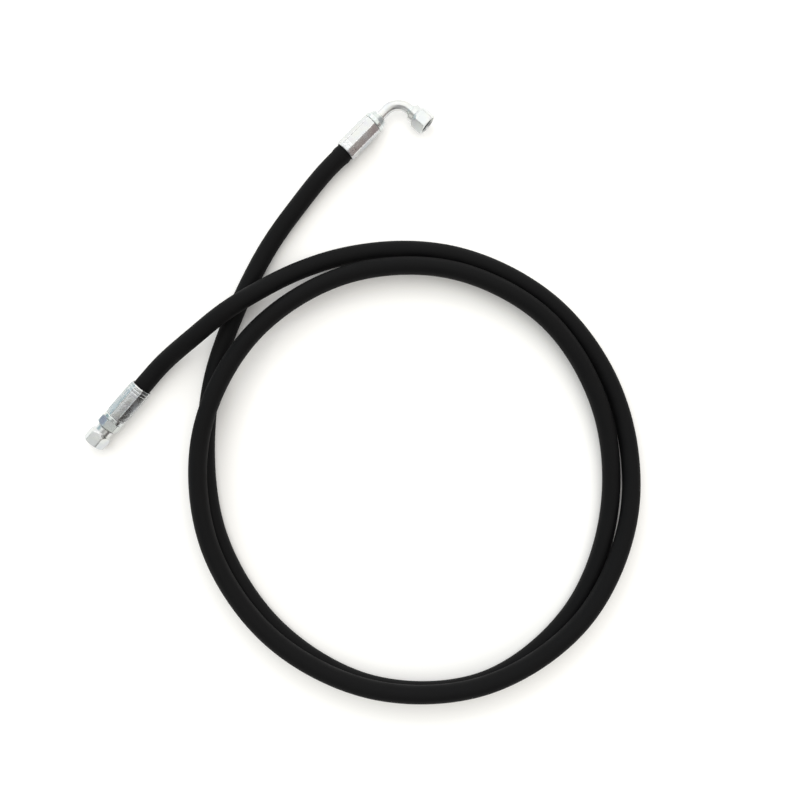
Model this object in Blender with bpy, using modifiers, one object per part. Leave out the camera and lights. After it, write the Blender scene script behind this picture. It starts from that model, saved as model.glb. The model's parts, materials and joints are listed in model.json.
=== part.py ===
"""Hydraulic hose assembly, lying on the floor in two loose turns.

A two-wire-braid hose is crimped at one end to a straight swivel fitting and at the other to a
swept elbow. Both swivel nuts turn freely on 24 degree cone heads with an O-ring.
Metres, +Z up, the floor at z = 0. The origin is on the floor, between the two fittings.
"""

import math

import bmesh
import bpy
import numpy as np
from mathutils import Matrix, Vector
from mathutils.geometry import interpolate_bezier

# Hose, from the bore outwards
HOSE_BORE = 0.0064
INNER_TUBE_WALL = 0.00095
BRAID_WALL = 0.00055
COVER_WALL = 0.00135
LAYER_GAP = 0.0003

# Ferrule, the same at both ends
FERRULE_WALL = 0.0016
FERRULE_LENGTH = 0.0325
FERRULE_LIP = 0.0020
FERRULE_CHAMFER = 0.0006
MOUTH_FLARE = 0.0005
TOOTH_DEPTH = 0.0005
TOOTH_WIDTH = 0.0024
TOOTH_COUNT = 4
RING_DEPTH = 0.00025
RING_WIDTH = 0.0014
RING_PITCH = 0.0027
RING_COUNT = 2
RING_SETBACK = 0.0034
CRIMP_JAWS = 8
CRIMP_SINK = 0.0005
RIDGE_WIDTH = 0.0007
RIDGE_HEIGHT = 0.00022
RIDGE_ROOT = 0.0009
RIDGE_SETBACK = 0.0016

# Hose tail, the same at both ends
TAIL_SETBACK = 0.0020
TAIL_WALL = 0.0006
BARB_HEIGHT = 0.0003
BARB_COUNT = 5
BARB_LEAN = 0.8
LOCK_WALL = 0.0020
LOCK_RISE = 0.0012
LOCK_LENGTH = 0.0020
FLANGE_STEP = 0.0002
FLANGE_LENGTH = 0.0034

# Straight fitting
INSERT_HEX_FLATS = 0.0170
INSERT_HEX_LENGTH = 0.0077
NUT_BACK_GAP = 0.0007

# Elbow fitting
PIPE_OD = 0.0086
PIPE_WALL = 0.0013
BEND_RADIUS = 0.0145
RUN_IN = 0.0069
RUN_OUT = 0.0006
ELBOW_TILT = math.radians(3.5)
NECK_BEHIND_NUT = 0.0020
SOCKET_DEPTH = 0.0036
SOCKET_WALL = 0.0023
COLLAR_TAPER = 0.0040
COLLAR_LAND = 0.0010
SPIGOT_LENGTH = 0.0020
SPIGOT_WALL = 0.0008

# Swivel head and nut, the same at both ends
NECK_OD = 0.0100
CONE_LENGTH = 0.0050
CONE_HALF_ANGLE = math.radians(12.0)
HEAD_RISE = 0.00095
HEAD_LENGTH = 0.0016
HEAD_SEAT_GAP = 0.0001
HEAD_BORE = 0.0040
O_RING_SECTION = 0.0014
O_RING_PROUD = 0.00035
O_RING_BACK = 0.0026
O_RING_GAP = 0.0002
NUT_WALL = 0.00225
NUT_HEX_LENGTH = 0.0082
NUT_TAPER = 0.0046
NUT_COLLAR_LENGTH = 0.0043
NUT_COLLAR_WALL = 0.0020
NUT_LIP = 0.0045
MOUTH_CHAMFER = 0.0009
EDGE_CHAMFER = 0.0004
HEX_CHAMFER_SLOPE = 0.5

# Clearances
FIT_GAP = 0.0003
LAY_GAP = 0.0005
CUT_PAST = 0.0050

# Angles round each axis, from straight up towards the axis frame's own +X
STRAIGHT_RIDGE_TURN = math.radians(-15.2)
ELBOW_RIDGE_TURN = math.radians(-17.3)
INSERT_HEX_TURN = math.radians(23.5)
STRAIGHT_NUT_TURN = math.radians(2.2)
ELBOW_NUT_TURN = 0.0

# Where the two hose ends leave their ferrules
MOUTHS_APART = 0.2584
MOUTHS_MIDDLE = -0.0039
ELBOW_MOUTH_X = -0.0132
STRAIGHT_MOUTH_X = -0.0123
LEAD_STRAIGHT = 0.0220

# The hose's route. Level 0 lies on the floor and level 1 on top of a hose that does.
# Elbow lead, (x, y, level)
ELBOW_LEAD = [
    (-0.0137, 0.0660, 0.00),
    (-0.0097, 0.0250, 0.00),
    (-0.0007, -0.0150, 0.00),
    (0.0109, -0.0519, 0.00),
    (0.0269, -0.0888, 0.00),
]
LOOP_CENTRE = (0.2044, -0.0383)
# Two turns round the loop's centre, (degrees, radius, level)
TURNS = [
    (210, 0.1760, 0.00),
    (240, 0.1712, 0.00),
    (270, 0.1735, 0.00),
    (300, 0.1804, 0.00),
    (330, 0.1836, 0.00),
    (360, 0.1756, 0.00),
    (390, 0.1662, 0.00),
    (420, 0.1640, 0.27),
    (450, 0.1675, 0.52),
    (480, 0.1699, 0.56),
    (510, 0.1721, 0.64),
    (540, 0.1743, 0.92),
    (570, 0.1761, 1.00),
    (600, 0.1766, 0.95),
    (630, 0.1769, 0.99),
    (660, 0.1788, 1.01),
    (690, 0.1817, 1.01),
    (720, 0.1820, 0.97),
    (750, 0.1809, 0.44),
    (780, 0.1798, 0.00),
    (810, 0.1811, 0.00),
    (840, 0.1838, 0.00),
    (870, 0.1888, 0.12),
]
# Straight lead, (x, y, level)
STRAIGHT_LEAD = [
    (0.0231, 0.0242, 0.46),
    (0.0107, -0.0093, 0.90),
    (0.0019, -0.0392, 1.06),
    (-0.0047, -0.0710, 0.80),
]

# How finely round things are divided
TURN_STEPS = 24
COVER_RESOLUTION = 4
LAYER_RESOLUTION = 2
PIPE_RESOLUTION = 4
BEND_POINTS = 7
ROUTE_STEP = 0.0450
O_RING_SIDES = 8
SHARP_ANGLE = math.radians(32.0)
WELD = 0.000001
GAP_SAMPLE = 0.0020
GAP_SKIP = 0.0600

# Worked out from the sizes above
LAYER_SIDES = 4 + 2 * LAYER_RESOLUTION
TUBE_RADIUS = HOSE_BORE / 2 + INNER_TUBE_WALL
INNER_BRAID_BORE = TUBE_RADIUS + LAYER_GAP
INNER_BRAID_RADIUS = INNER_BRAID_BORE + BRAID_WALL
OUTER_BRAID_BORE = INNER_BRAID_RADIUS + LAYER_GAP
OUTER_BRAID_RADIUS = OUTER_BRAID_BORE + BRAID_WALL
COVER_BORE = OUTER_BRAID_RADIUS + LAYER_GAP
HOSE_RADIUS = COVER_BORE + COVER_WALL
FERRULE_BORE = HOSE_RADIUS + FIT_GAP
FERRULE_RADIUS = FERRULE_BORE + FERRULE_WALL
TAIL_CREST = HOSE_BORE / 2 - FIT_GAP
TAIL_ROOT = TAIL_CREST - BARB_HEIGHT
TAIL_BORE = TAIL_ROOT - TAIL_WALL
LOCK_GROOVE = TAIL_BORE + LOCK_WALL
LOCK_RADIUS = LOCK_GROOVE + LOCK_RISE
LOCK_END = FERRULE_LENGTH - FERRULE_LIP - FIT_GAP
LOCK_START = LOCK_END - LOCK_LENGTH
HOSE_STOP = LOCK_START - FIT_GAP
STOP_FACE = FERRULE_LENGTH + FIT_GAP
FLANGE_RADIUS = FERRULE_RADIUS - FLANGE_STEP
FLANGE_END = STOP_FACE + FLANGE_LENGTH
PIPE_RADIUS = PIPE_OD / 2
PIPE_BORE = PIPE_RADIUS - PIPE_WALL
SOCKET_RADIUS = PIPE_RADIUS + FIT_GAP
COLLAR_RADIUS = SOCKET_RADIUS + SOCKET_WALL
TAPER_END = FLANGE_END + COLLAR_TAPER
COLLAR_END = TAPER_END + COLLAR_LAND
NECK_RADIUS = NECK_OD / 2
HEAD_RADIUS = NECK_RADIUS + HEAD_RISE
HEAD_BACK = NUT_LIP + HEAD_SEAT_GAP
CONE_START = HEAD_BACK + HEAD_RISE + HEAD_LENGTH
CONE_TIP = CONE_START + CONE_LENGTH
CONE_SLOPE = math.tan(CONE_HALF_ANGLE)
TIP_RADIUS = NECK_RADIUS - CONE_LENGTH * CONE_SLOPE
O_RING_HEIGHT = CONE_TIP - O_RING_BACK
O_RING_RADIUS = TIP_RADIUS + O_RING_BACK * CONE_SLOPE + O_RING_PROUD - O_RING_SECTION / 2
NUT_LIP_BORE = NECK_RADIUS + FIT_GAP
THREAD_BORE = HEAD_RADIUS + FIT_GAP
NUT_FLATS = 2 * (THREAD_BORE + NUT_WALL)
NUT_COLLAR = NUT_LIP_BORE + NUT_COLLAR_WALL
NUT_LENGTH = NUT_COLLAR_LENGTH + NUT_TAPER + NUT_HEX_LENGTH
HEX_END = FLANGE_END + INSERT_HEX_LENGTH
STRAIGHT_NUT_REAR = HEX_END + NUT_BACK_GAP
BEND_ANGLE = math.pi / 2 - ELBOW_TILT
AXIS_HEIGHT = FERRULE_RADIUS
LAY_STEP = 2 * HOSE_RADIUS + LAY_GAP
ELBOW_MOUTH = (ELBOW_MOUTH_X, MOUTHS_MIDDLE + MOUTHS_APART / 2)
STRAIGHT_MOUTH = (STRAIGHT_MOUTH_X, MOUTHS_MIDDLE - MOUTHS_APART / 2)
STRAIGHT_FORWARD = Vector((0, -1, 0))
ELBOW_FORWARD = Vector((math.sin(ELBOW_TILT), math.cos(ELBOW_TILT), 0))
NUT_FORWARD = Vector((1, 0, 0))


def new_collection(name):
    """A collection in the scene."""
    made = bpy.data.collections.new(name)
    bpy.context.scene.collection.children.link(made)
    return made


def clear_scene():
    """Remove whatever the scene holds."""
    for thing in list(bpy.data.objects):
        bpy.data.objects.remove(thing)


def add_object(name, data, home, frame=None):
    """An object in a collection, carried by an axis frame if one is given."""
    made = bpy.data.objects.new(name, data)
    home.objects.link(made)
    made.parent = frame
    return made


def as_cutter(thing):
    """Mark a helper solid that only shapes other solids."""
    thing.hide_render = True
    thing.display_type = "WIRE"
    return thing


def axis_frame(name, place, forward, home):
    """An empty whose +Z runs along a fitting's axis and whose +Y is straight up."""
    empty = add_object(name, None, home)
    up = Vector((0, 0, 1))
    turn = Matrix((up.cross(forward), up, forward)).transposed()
    empty.matrix_world = Matrix.Translation(place) @ turn.to_4x4()
    return empty


def round_clear(radius, sides=TURN_STEPS):
    """The corner radius of a polygon that leaves a round of this radius clear inside it."""
    return radius / math.cos(math.pi / sides)


def turned(name, outside, inside, home, frame):
    """A ring turned about +Z from its outer and inner (radius, height) lines, both going up."""
    profile = list(reversed(outside)) + inside
    mesh = bpy.data.meshes.new(name)
    corners = [(radius, 0.0, height) for radius, height in profile]
    edges = [(i, (i + 1) % len(profile)) for i in range(len(profile))]
    mesh.from_pydata(corners, edges, [])
    ring = add_object(name, mesh, home, frame)
    screw = ring.modifiers.new("Turn", "SCREW")
    screw.axis = "Z"
    screw.steps = TURN_STEPS
    screw.render_steps = TURN_STEPS
    screw.use_merge_vertices = True
    screw.merge_threshold = WELD
    return ring


def boolean(piece, tool, operation):
    """Cut, join or trim a piece with a tool solid."""
    step = piece.modifiers.new(operation.title(), "BOOLEAN")
    step.operation = operation
    step.solver = "EXACT"
    step.object = tool


def flat_bar(name, sides, across_flats, start, end, turn, home, frame):
    """A bar of several flats along +Z, with one corner facing the given turn from straight up."""
    shape = bmesh.new()
    corner = round_clear(across_flats / 2, sides)
    middle = Matrix.Translation((0, 0, (start + end) / 2))
    corner_up = Matrix.Rotation(-turn, 4, "Z")
    bmesh.ops.create_cone(shape, cap_ends=True, segments=sides, radius1=corner, radius2=corner,
                          depth=end - start, matrix=middle @ corner_up)
    mesh = bpy.data.meshes.new(name)
    shape.to_mesh(mesh)
    shape.free()
    return as_cutter(add_object(name, mesh, home, frame))


def hex_bar(name, across_flats, start, end, turn, home, frame):
    """A six-sided bar along +Z with one flat facing the given turn from straight up."""
    return flat_bar(name, 6, across_flats, start, end, turn - math.pi / 6, home, frame)


def sweep(name, points, radius, resolution, home, frame=None, twist="Z_UP"):
    """A closed round bar along a line of points, as a mesh with its end caps welded on."""
    curve = bpy.data.curves.new(name, "CURVE")
    curve.dimensions = "3D"
    curve.twist_mode = twist
    curve.bevel_depth = radius
    curve.bevel_resolution = resolution
    curve.use_fill_caps = True
    spline = curve.splines.new("POLY")
    spline.points.add(len(points) - 1)
    for knot, point in zip(spline.points, points):
        knot.co = (*point, 1.0)
    drawn = add_object(name + "_line", curve, home)
    depsgraph = bpy.context.evaluated_depsgraph_get()
    mesh = bpy.data.meshes.new_from_object(drawn.evaluated_get(depsgraph))
    bpy.data.objects.remove(drawn)
    shape = bmesh.new()
    shape.from_mesh(mesh)
    bmesh.ops.remove_doubles(shape, verts=shape.verts, dist=WELD)
    bmesh.ops.recalc_face_normals(shape, faces=shape.faces)
    shape.to_mesh(mesh)
    shape.free()
    mesh.name = name
    return add_object(name, mesh, home, frame)


def stretched(points, past):
    """The same line of points with both ends moved on along their own runs."""
    first = points[0] + (points[0] - points[1]).normalized() * past
    last = points[-1] + (points[-1] - points[-2]).normalized() * past
    return [first] + points[1:-1] + [last]


def lying(x, y, level):
    """A point of the hose's middle line, from its place on the floor and its level."""
    return Vector((x, y, HOSE_RADIUS + level * LAY_STEP))


def route_knots():
    """The hose's hand-chosen points, from the elbow's ferrule to the straight one."""
    cx, cy = LOOP_CENTRE
    elbow_mouth = Vector((*ELBOW_MOUTH, AXIS_HEIGHT))
    straight_mouth = Vector((*STRAIGHT_MOUTH, AXIS_HEIGHT))
    knots = [elbow_mouth, elbow_mouth - ELBOW_FORWARD * LEAD_STRAIGHT]
    knots += [lying(*point) for point in ELBOW_LEAD]
    for degrees, radius, level in TURNS:
        angle = math.radians(degrees)
        knots.append(lying(cx + radius * math.cos(angle), cy + radius * math.sin(angle), level))
    knots += [lying(*point) for point in STRAIGHT_LEAD]
    return knots + [straight_mouth - STRAIGHT_FORWARD * LEAD_STRAIGHT, straight_mouth]


def smooth_line(knots, step):
    """Points about a step apart on one smooth curve through the knots, none under the floor."""
    spans = [(b - a).length for a, b in zip(knots, knots[1:])]
    slopes = [(b - a) / span for a, b, span in zip(knots, knots[1:], spans)]
    leans = [slopes[0]]
    for before, after, span, next_span in zip(slopes, slopes[1:], spans, spans[1:]):
        leans.append((before * next_span + after * span) / (span + next_span))
    leans.append(slopes[-1])
    points = []
    for i, span in enumerate(spans):
        count = max(1, round(span / step))
        reach = span / 3
        points += interpolate_bezier(knots[i], knots[i] + leans[i] * reach,
                                     knots[i + 1] - leans[i + 1] * reach, knots[i + 1], count + 1)[:-1]
    points.append(knots[-1])
    return [Vector((point.x, point.y, max(point.z, HOSE_RADIUS))) for point in points]


def hose_line():
    """The hose's whole middle line, from its stop in one ferrule to its stop in the other."""
    free = smooth_line(route_knots(), ROUTE_STEP)
    return [free[0] + ELBOW_FORWARD * HOSE_STOP] + free + [free[-1] + STRAIGHT_FORWARD * HOSE_STOP]


def report_route(points):
    """Print the hose's length and the least gap that it leaves to itself."""
    line = np.array([tuple(point) for point in points])
    steps = np.linalg.norm(np.diff(line, axis=0), axis=1)
    along = np.concatenate([[0.0], np.cumsum(steps)])
    sample = np.arange(0.0, along[-1], GAP_SAMPLE)
    spots = np.stack([np.interp(sample, along, line[:, k]) for k in range(3)], axis=1)
    apart = np.linalg.norm(spots[:, None] - spots[None, :], axis=2)
    far_along = np.abs(sample[:, None] - sample[None, :]) > GAP_SKIP
    gap = apart[far_along].min() - 2 * HOSE_RADIUS
    print(f"hose points {len(points)}, length {along[-1]:.4f} m")
    print(f"least gap of the hose to itself {gap * 1000:.2f} mm")


def hose_layer(name, points, radius, bore, parts, cutters, outer_round=False):
    """One layer of the hose: a tube of its outer radius with its bore cut out."""
    corner = radius if outer_round else round_clear(radius, LAYER_SIDES)
    resolution = COVER_RESOLUTION if outer_round else LAYER_RESOLUTION
    layer = sweep(name, points, corner, resolution, parts)
    core = sweep(name + "_bore", stretched(points, CUT_PAST), round_clear(bore, LAYER_SIDES),
                 LAYER_RESOLUTION, cutters)
    boolean(layer, as_cutter(core), "DIFFERENCE")
    return layer


def build_hose(parts, cutters):
    """The hose's four layers along one line."""
    points = hose_line()
    report_route(points)
    hose_layer("hose_inner_tube", points, TUBE_RADIUS, HOSE_BORE / 2, parts, cutters)
    hose_layer("hose_inner_braid", points, INNER_BRAID_RADIUS, INNER_BRAID_BORE, parts, cutters)
    hose_layer("hose_outer_braid", points, OUTER_BRAID_RADIUS, OUTER_BRAID_BORE, parts, cutters)
    hose_layer("hose_cover", points, HOSE_RADIUS, COVER_BORE, parts, cutters, outer_round=True)


def notch(radius, depth, width, middle):
    """Three points of a V-shaped notch in a line; a negative depth goes outwards."""
    return [(radius, middle - width / 2), (radius - depth, middle), (radius, middle + width / 2)]


def crimp_ridges(name, turn, home, frame):
    """The thin lines that the crimping jaws leave between them, as one set of bars."""
    shape = bmesh.new()
    length = FERRULE_LENGTH - 2 * RIDGE_SETBACK
    radial = RIDGE_HEIGHT + RIDGE_ROOT
    middle = FERRULE_RADIUS + (RIDGE_HEIGHT - RIDGE_ROOT) / 2
    for jaw in range(CRIMP_JAWS):
        around = Matrix.Rotation(jaw * 2 * math.pi / CRIMP_JAWS - turn, 4, "Z")
        out = Matrix.Translation((0, middle, FERRULE_LENGTH / 2))
        size = Matrix.Diagonal((RIDGE_WIDTH, radial, length, 1))
        bmesh.ops.create_cube(shape, size=1, matrix=around @ out @ size)
    mesh = bpy.data.meshes.new(name)
    shape.to_mesh(mesh)
    shape.free()
    return as_cutter(add_object(name, mesh, home, frame))


def build_ferrule(name, ridge_turn, parts, cutters, frame):
    """A crimped shell with teeth inside, jaw ridges outside and a lip that locks on the insert."""
    outside = [(FERRULE_RADIUS - FERRULE_CHAMFER, 0), (FERRULE_RADIUS, FERRULE_CHAMFER)]
    for i in range(RING_COUNT):
        outside += notch(FERRULE_RADIUS, CRIMP_SINK + RING_DEPTH, RING_WIDTH, RING_SETBACK + i * RING_PITCH)
    outside += [(FERRULE_RADIUS, FERRULE_LENGTH - FERRULE_CHAMFER),
                (FERRULE_RADIUS - FERRULE_CHAMFER, FERRULE_LENGTH)]
    bore = round_clear(FERRULE_BORE)
    lip = round_clear(LOCK_GROOVE + FIT_GAP)
    inside = [(bore + MOUTH_FLARE, 0), (bore, MOUTH_FLARE)]
    pitch = HOSE_STOP / (TOOTH_COUNT + 1)
    for i in range(TOOTH_COUNT):
        inside += notch(bore, -TOOTH_DEPTH, TOOTH_WIDTH, (i + 1) * pitch)
    inside += [(bore, FERRULE_LENGTH - FERRULE_LIP), (lip, FERRULE_LENGTH - FERRULE_LIP),
               (lip, FERRULE_LENGTH)]
    shell = turned(name, outside, inside, parts, frame)
    jaws = flat_bar(name + "_jaws", CRIMP_JAWS, 2 * (FERRULE_RADIUS - CRIMP_SINK), -CUT_PAST,
                    FERRULE_LENGTH + CUT_PAST, ridge_turn, cutters, frame)
    boolean(shell, jaws, "INTERSECT")
    boolean(shell, crimp_ridges(name + "_ridges", ridge_turn, cutters, frame), "UNION")


def tail_line():
    """The outer line of a hose tail: barbs, locking shoulder and the ferrule's groove."""
    pitch = (LOCK_START - TAIL_SETBACK) / (BARB_COUNT + 1)
    line = [(TAIL_ROOT, TAIL_SETBACK)]
    for i in range(BARB_COUNT):
        foot = TAIL_SETBACK + i * pitch
        line += [(TAIL_CREST, foot + pitch * BARB_LEAN), (TAIL_ROOT, foot + pitch)]
    line += [(TAIL_ROOT, LOCK_START), (LOCK_RADIUS, LOCK_START), (LOCK_RADIUS, LOCK_END),
             (LOCK_GROOVE, LOCK_END), (LOCK_GROOVE, STOP_FACE)]
    return line


def flange_line():
    """The outer line of the round flange that the ferrule stops against."""
    return [(FLANGE_RADIUS - EDGE_CHAMFER, STOP_FACE), (FLANGE_RADIUS, STOP_FACE + EDGE_CHAMFER),
            (FLANGE_RADIUS, FLANGE_END - EDGE_CHAMFER), (FLANGE_RADIUS - EDGE_CHAMFER, FLANGE_END)]


def head_line(nut_rear):
    """The outer line of a swivel head, from its neck in the nut's lip to the cone's tip."""
    half = O_RING_SECTION / 2 + O_RING_GAP
    floor = O_RING_RADIUS - half
    rear_lip = TIP_RADIUS + (O_RING_BACK + half) * CONE_SLOPE
    front_lip = TIP_RADIUS + (O_RING_BACK - half) * CONE_SLOPE
    line = [(NECK_RADIUS, HEAD_BACK), (HEAD_RADIUS, HEAD_BACK + HEAD_RISE), (HEAD_RADIUS, CONE_START),
            (NECK_RADIUS, CONE_START), (rear_lip, O_RING_HEIGHT - half), (floor, O_RING_HEIGHT - half),
            (floor, O_RING_HEIGHT + half), (front_lip, O_RING_HEIGHT + half), (TIP_RADIUS, CONE_TIP)]
    return [(radius, nut_rear + height) for radius, height in line]


def build_o_ring(name, nut_rear, parts, frame):
    """The seal in the cone's groove."""
    half = O_RING_SECTION / 2
    height = nut_rear + O_RING_HEIGHT
    count = O_RING_SIDES // 2
    angles = [math.pi * i / count - math.pi / 2 for i in range(count + 1)]
    outside = [(O_RING_RADIUS + half * math.cos(a), height + half * math.sin(a)) for a in angles]
    inside = [(O_RING_RADIUS - half * math.cos(a), height + half * math.sin(a)) for a in angles[1:-1]]
    turned(name, outside, inside, parts, frame)


def hex_stock(across_flats):
    """Radius of the round stock that a hexagon is cut from, and the length of its end chamfer."""
    flat = across_flats / 2
    stock = round_clear(flat / math.cos(math.pi / 6)) + EDGE_CHAMFER
    return stock, (stock - flat + EDGE_CHAMFER) * HEX_CHAMFER_SLOPE


def build_nut(name, nut_rear, turn, parts, cutters, frame):
    """A swivel nut: hexagon, tapered back and a collar rolled in behind the head."""
    stock, chamfer = hex_stock(NUT_FLATS)
    front = nut_rear + NUT_LENGTH
    collar_end = nut_rear + NUT_COLLAR_LENGTH
    outside = [(NUT_COLLAR - EDGE_CHAMFER, nut_rear), (NUT_COLLAR, nut_rear + EDGE_CHAMFER),
               (NUT_COLLAR, collar_end), (stock, collar_end + NUT_TAPER),
               (stock, front - chamfer), (NUT_FLATS / 2 - EDGE_CHAMFER, front)]
    lip = round_clear(NUT_LIP_BORE)
    thread = round_clear(THREAD_BORE)
    inside = [(lip, nut_rear), (lip, nut_rear + NUT_LIP), (thread, nut_rear + NUT_LIP + thread - lip),
              (thread, front - MOUTH_CHAMFER), (thread + MOUTH_CHAMFER, front)]
    nut = turned(name, outside, inside, parts, frame)
    flats = hex_bar(name + "_flats", NUT_FLATS, nut_rear - CUT_PAST, front + CUT_PAST,
                    turn, cutters, frame)
    boolean(nut, flats, "INTERSECT")


def build_straight_insert(parts, cutters, frame):
    """The straight fitting's insert: hose tail, flange, hexagon and cone head in one piece."""
    stock, chamfer = hex_stock(INSERT_HEX_FLATS)
    flat = INSERT_HEX_FLATS / 2
    outside = tail_line() + flange_line() + [
        (flat - EDGE_CHAMFER, FLANGE_END), (stock, FLANGE_END + chamfer),
        (stock, HEX_END - chamfer), (flat - EDGE_CHAMFER, HEX_END), (NECK_RADIUS, HEX_END),
    ] + head_line(STRAIGHT_NUT_REAR)
    tip = outside[-1][1]
    inside = [(TAIL_BORE, TAIL_SETBACK), (TAIL_BORE, HEX_END), (HEAD_BORE / 2, HEX_END + EDGE_CHAMFER),
              (HEAD_BORE / 2, tip)]
    insert = turned("straight_insert", outside, inside, parts, frame)
    sleeve = turned("straight_insert_flats", [(stock + CUT_PAST, FLANGE_END), (stock + CUT_PAST, HEX_END)],
                    [(LOCK_GROOVE, FLANGE_END), (LOCK_GROOVE, HEX_END)], cutters, frame)
    bar = hex_bar("straight_insert_hexagon", INSERT_HEX_FLATS, FLANGE_END - CUT_PAST, HEX_END + CUT_PAST,
                  INSERT_HEX_TURN, cutters, frame)
    boolean(as_cutter(sleeve), bar, "DIFFERENCE")
    boolean(insert, sleeve, "DIFFERENCE")


def build_elbow_tail(parts, frame):
    """The elbow's hose tail, with a flange that tapers to a collar bored to take the bent pipe."""
    outside = tail_line() + flange_line() + [
        (COLLAR_RADIUS, TAPER_END), (COLLAR_RADIUS, COLLAR_END - EDGE_CHAMFER),
        (COLLAR_RADIUS - EDGE_CHAMFER, COLLAR_END),
    ]
    socket = round_clear(SOCKET_RADIUS)
    floor = COLLAR_END - SOCKET_DEPTH
    inside = [(TAIL_BORE, TAIL_SETBACK), (TAIL_BORE, floor), (socket, floor), (socket, COLLAR_END)]
    turned("elbow_hose_tail", outside, inside, parts, frame)


def pipe_line():
    """The bent pipe's middle line in the elbow's axis frame, and the way that it leaves the bend."""
    bend_start = COLLAR_END + RUN_IN
    points = [Vector((0, 0, COLLAR_END - SOCKET_DEPTH + FIT_GAP))]
    for i in range(BEND_POINTS):
        angle = BEND_ANGLE * i / (BEND_POINTS - 1)
        points.append(Vector((-BEND_RADIUS * (1 - math.cos(angle)), 0,
                              bend_start + BEND_RADIUS * math.sin(angle))))
    out = Vector((-math.sin(BEND_ANGLE), 0, math.cos(BEND_ANGLE)))
    return points + [points[-1] + out * RUN_OUT], out


def build_elbow_pipe(parts, cutters, frame):
    """The pipe bent nearly through a right angle, from the tail's socket to the cone head's neck."""
    points, _ = pipe_line()
    pipe = sweep("elbow_bent_pipe", points, PIPE_RADIUS, PIPE_RESOLUTION, parts, frame, "MINIMUM")
    core = sweep("elbow_bent_pipe_bore", stretched(points, CUT_PAST), PIPE_BORE, PIPE_RESOLUTION,
                 cutters, frame, "MINIMUM")
    boolean(pipe, as_cutter(core), "DIFFERENCE")


def build_elbow_head(parts, frame):
    """The elbow's cone head, with a spigot that locates it in the pipe's bore."""
    joint = -NECK_BEHIND_NUT
    spigot = PIPE_BORE * math.cos(math.pi / (4 + 2 * PIPE_RESOLUTION)) - FIT_GAP
    outside = [(spigot, joint - SPIGOT_LENGTH), (spigot, joint), (NECK_RADIUS, joint)] + head_line(0.0)
    tip = outside[-1][1]
    inside = [(spigot - SPIGOT_WALL, joint - SPIGOT_LENGTH), (spigot - SPIGOT_WALL, joint),
              (HEAD_BORE / 2, joint + EDGE_CHAMFER), (HEAD_BORE / 2, tip)]
    turned("elbow_cone_head", outside, inside, parts, frame)


def plain_material(name, colour, roughness, metallic):
    """A Principled material of one colour."""
    made = bpy.data.materials.new(name)
    made.use_nodes = True
    shader = made.node_tree.nodes["Principled BSDF"]
    shader.inputs["Base Color"].default_value = (*colour, 1.0)
    shader.inputs["Roughness"].default_value = roughness
    shader.inputs["Metallic"].default_value = metallic
    return made


FINISHES = {
    "zinc": ((0.78, 0.79, 0.78), 0.28, 1.0),
    "wire": ((0.55, 0.50, 0.42), 0.40, 1.0),
    "cover_rubber": ((0.018, 0.018, 0.020), 0.60, 0.0),
    "tube_rubber": ((0.025, 0.025, 0.025), 0.50, 0.0),
    "seal_rubber": ((0.015, 0.015, 0.015), 0.45, 0.0),
}
FINISH_OF = {
    "hose_cover": "cover_rubber",
    "hose_inner_tube": "tube_rubber",
    "hose_inner_braid": "wire",
    "hose_outer_braid": "wire",
    "straight_o_ring": "seal_rubber",
    "elbow_o_ring": "seal_rubber",
}


def settle(piece):
    """Apply a piece's modifiers, shade it smooth up to its real edges and give it its material."""
    depsgraph = bpy.context.evaluated_depsgraph_get()
    mesh = bpy.data.meshes.new_from_object(piece.evaluated_get(depsgraph))
    piece.modifiers.clear()
    piece.data = mesh
    mesh.name = piece.name
    mesh.shade_smooth()
    mesh.set_sharp_from_angle(angle=SHARP_ANGLE)
    colour, roughness, metallic = FINISHES[FINISH_OF.get(piece.name, "zinc")]
    mesh.materials.clear()
    mesh.materials.append(plain_material(piece.name, colour, roughness, metallic))


def main():
    """Build the whole assembly."""
    clear_scene()
    parts = new_collection("hydraulic_hose_assembly")
    cutters = new_collection("cutters")
    frames = new_collection("axes")

    straight_axis = axis_frame("straight_axis", (*STRAIGHT_MOUTH, AXIS_HEIGHT), STRAIGHT_FORWARD, frames)
    elbow_axis = axis_frame("elbow_axis", (*ELBOW_MOUTH, AXIS_HEIGHT), ELBOW_FORWARD, frames)
    pipe_points, pipe_out = pipe_line()
    nut_place = elbow_axis.matrix_world @ (pipe_points[-1] + pipe_out * (FIT_GAP + NECK_BEHIND_NUT))
    elbow_nut_axis = axis_frame("elbow_nut_axis", nut_place, NUT_FORWARD, frames)

    build_hose(parts, cutters)

    build_ferrule("straight_ferrule", STRAIGHT_RIDGE_TURN, parts, cutters, straight_axis)
    build_straight_insert(parts, cutters, straight_axis)
    build_o_ring("straight_o_ring", STRAIGHT_NUT_REAR, parts, straight_axis)
    build_nut("straight_nut", STRAIGHT_NUT_REAR, STRAIGHT_NUT_TURN, parts, cutters, straight_axis)

    build_ferrule("elbow_ferrule", ELBOW_RIDGE_TURN, parts, cutters, elbow_axis)
    build_elbow_tail(parts, elbow_axis)
    build_elbow_pipe(parts, cutters, elbow_axis)
    build_elbow_head(parts, elbow_nut_axis)
    build_o_ring("elbow_o_ring", 0.0, parts, elbow_nut_axis)
    build_nut("elbow_nut", 0.0, ELBOW_NUT_TURN, parts, cutters, elbow_nut_axis)

    for piece in parts.objects:
        settle(piece)


main()
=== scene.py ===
"""Looks of a hydraulic hose assembly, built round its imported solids.

A black rubber hose lies in two loose turns on a white surface, seen from straight above, with a straight
swivel fitting crimped on one end and a swept elbow on the other. Metres, +Z up, the floor at z = 0.
"""

import json
import logging
import math
from dataclasses import dataclass, field
from enum import Enum
from typing import Protocol

import bpy
import numpy as np
from mathutils import Matrix, Vector
from mathutils.geometry import interpolate_bezier


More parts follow.
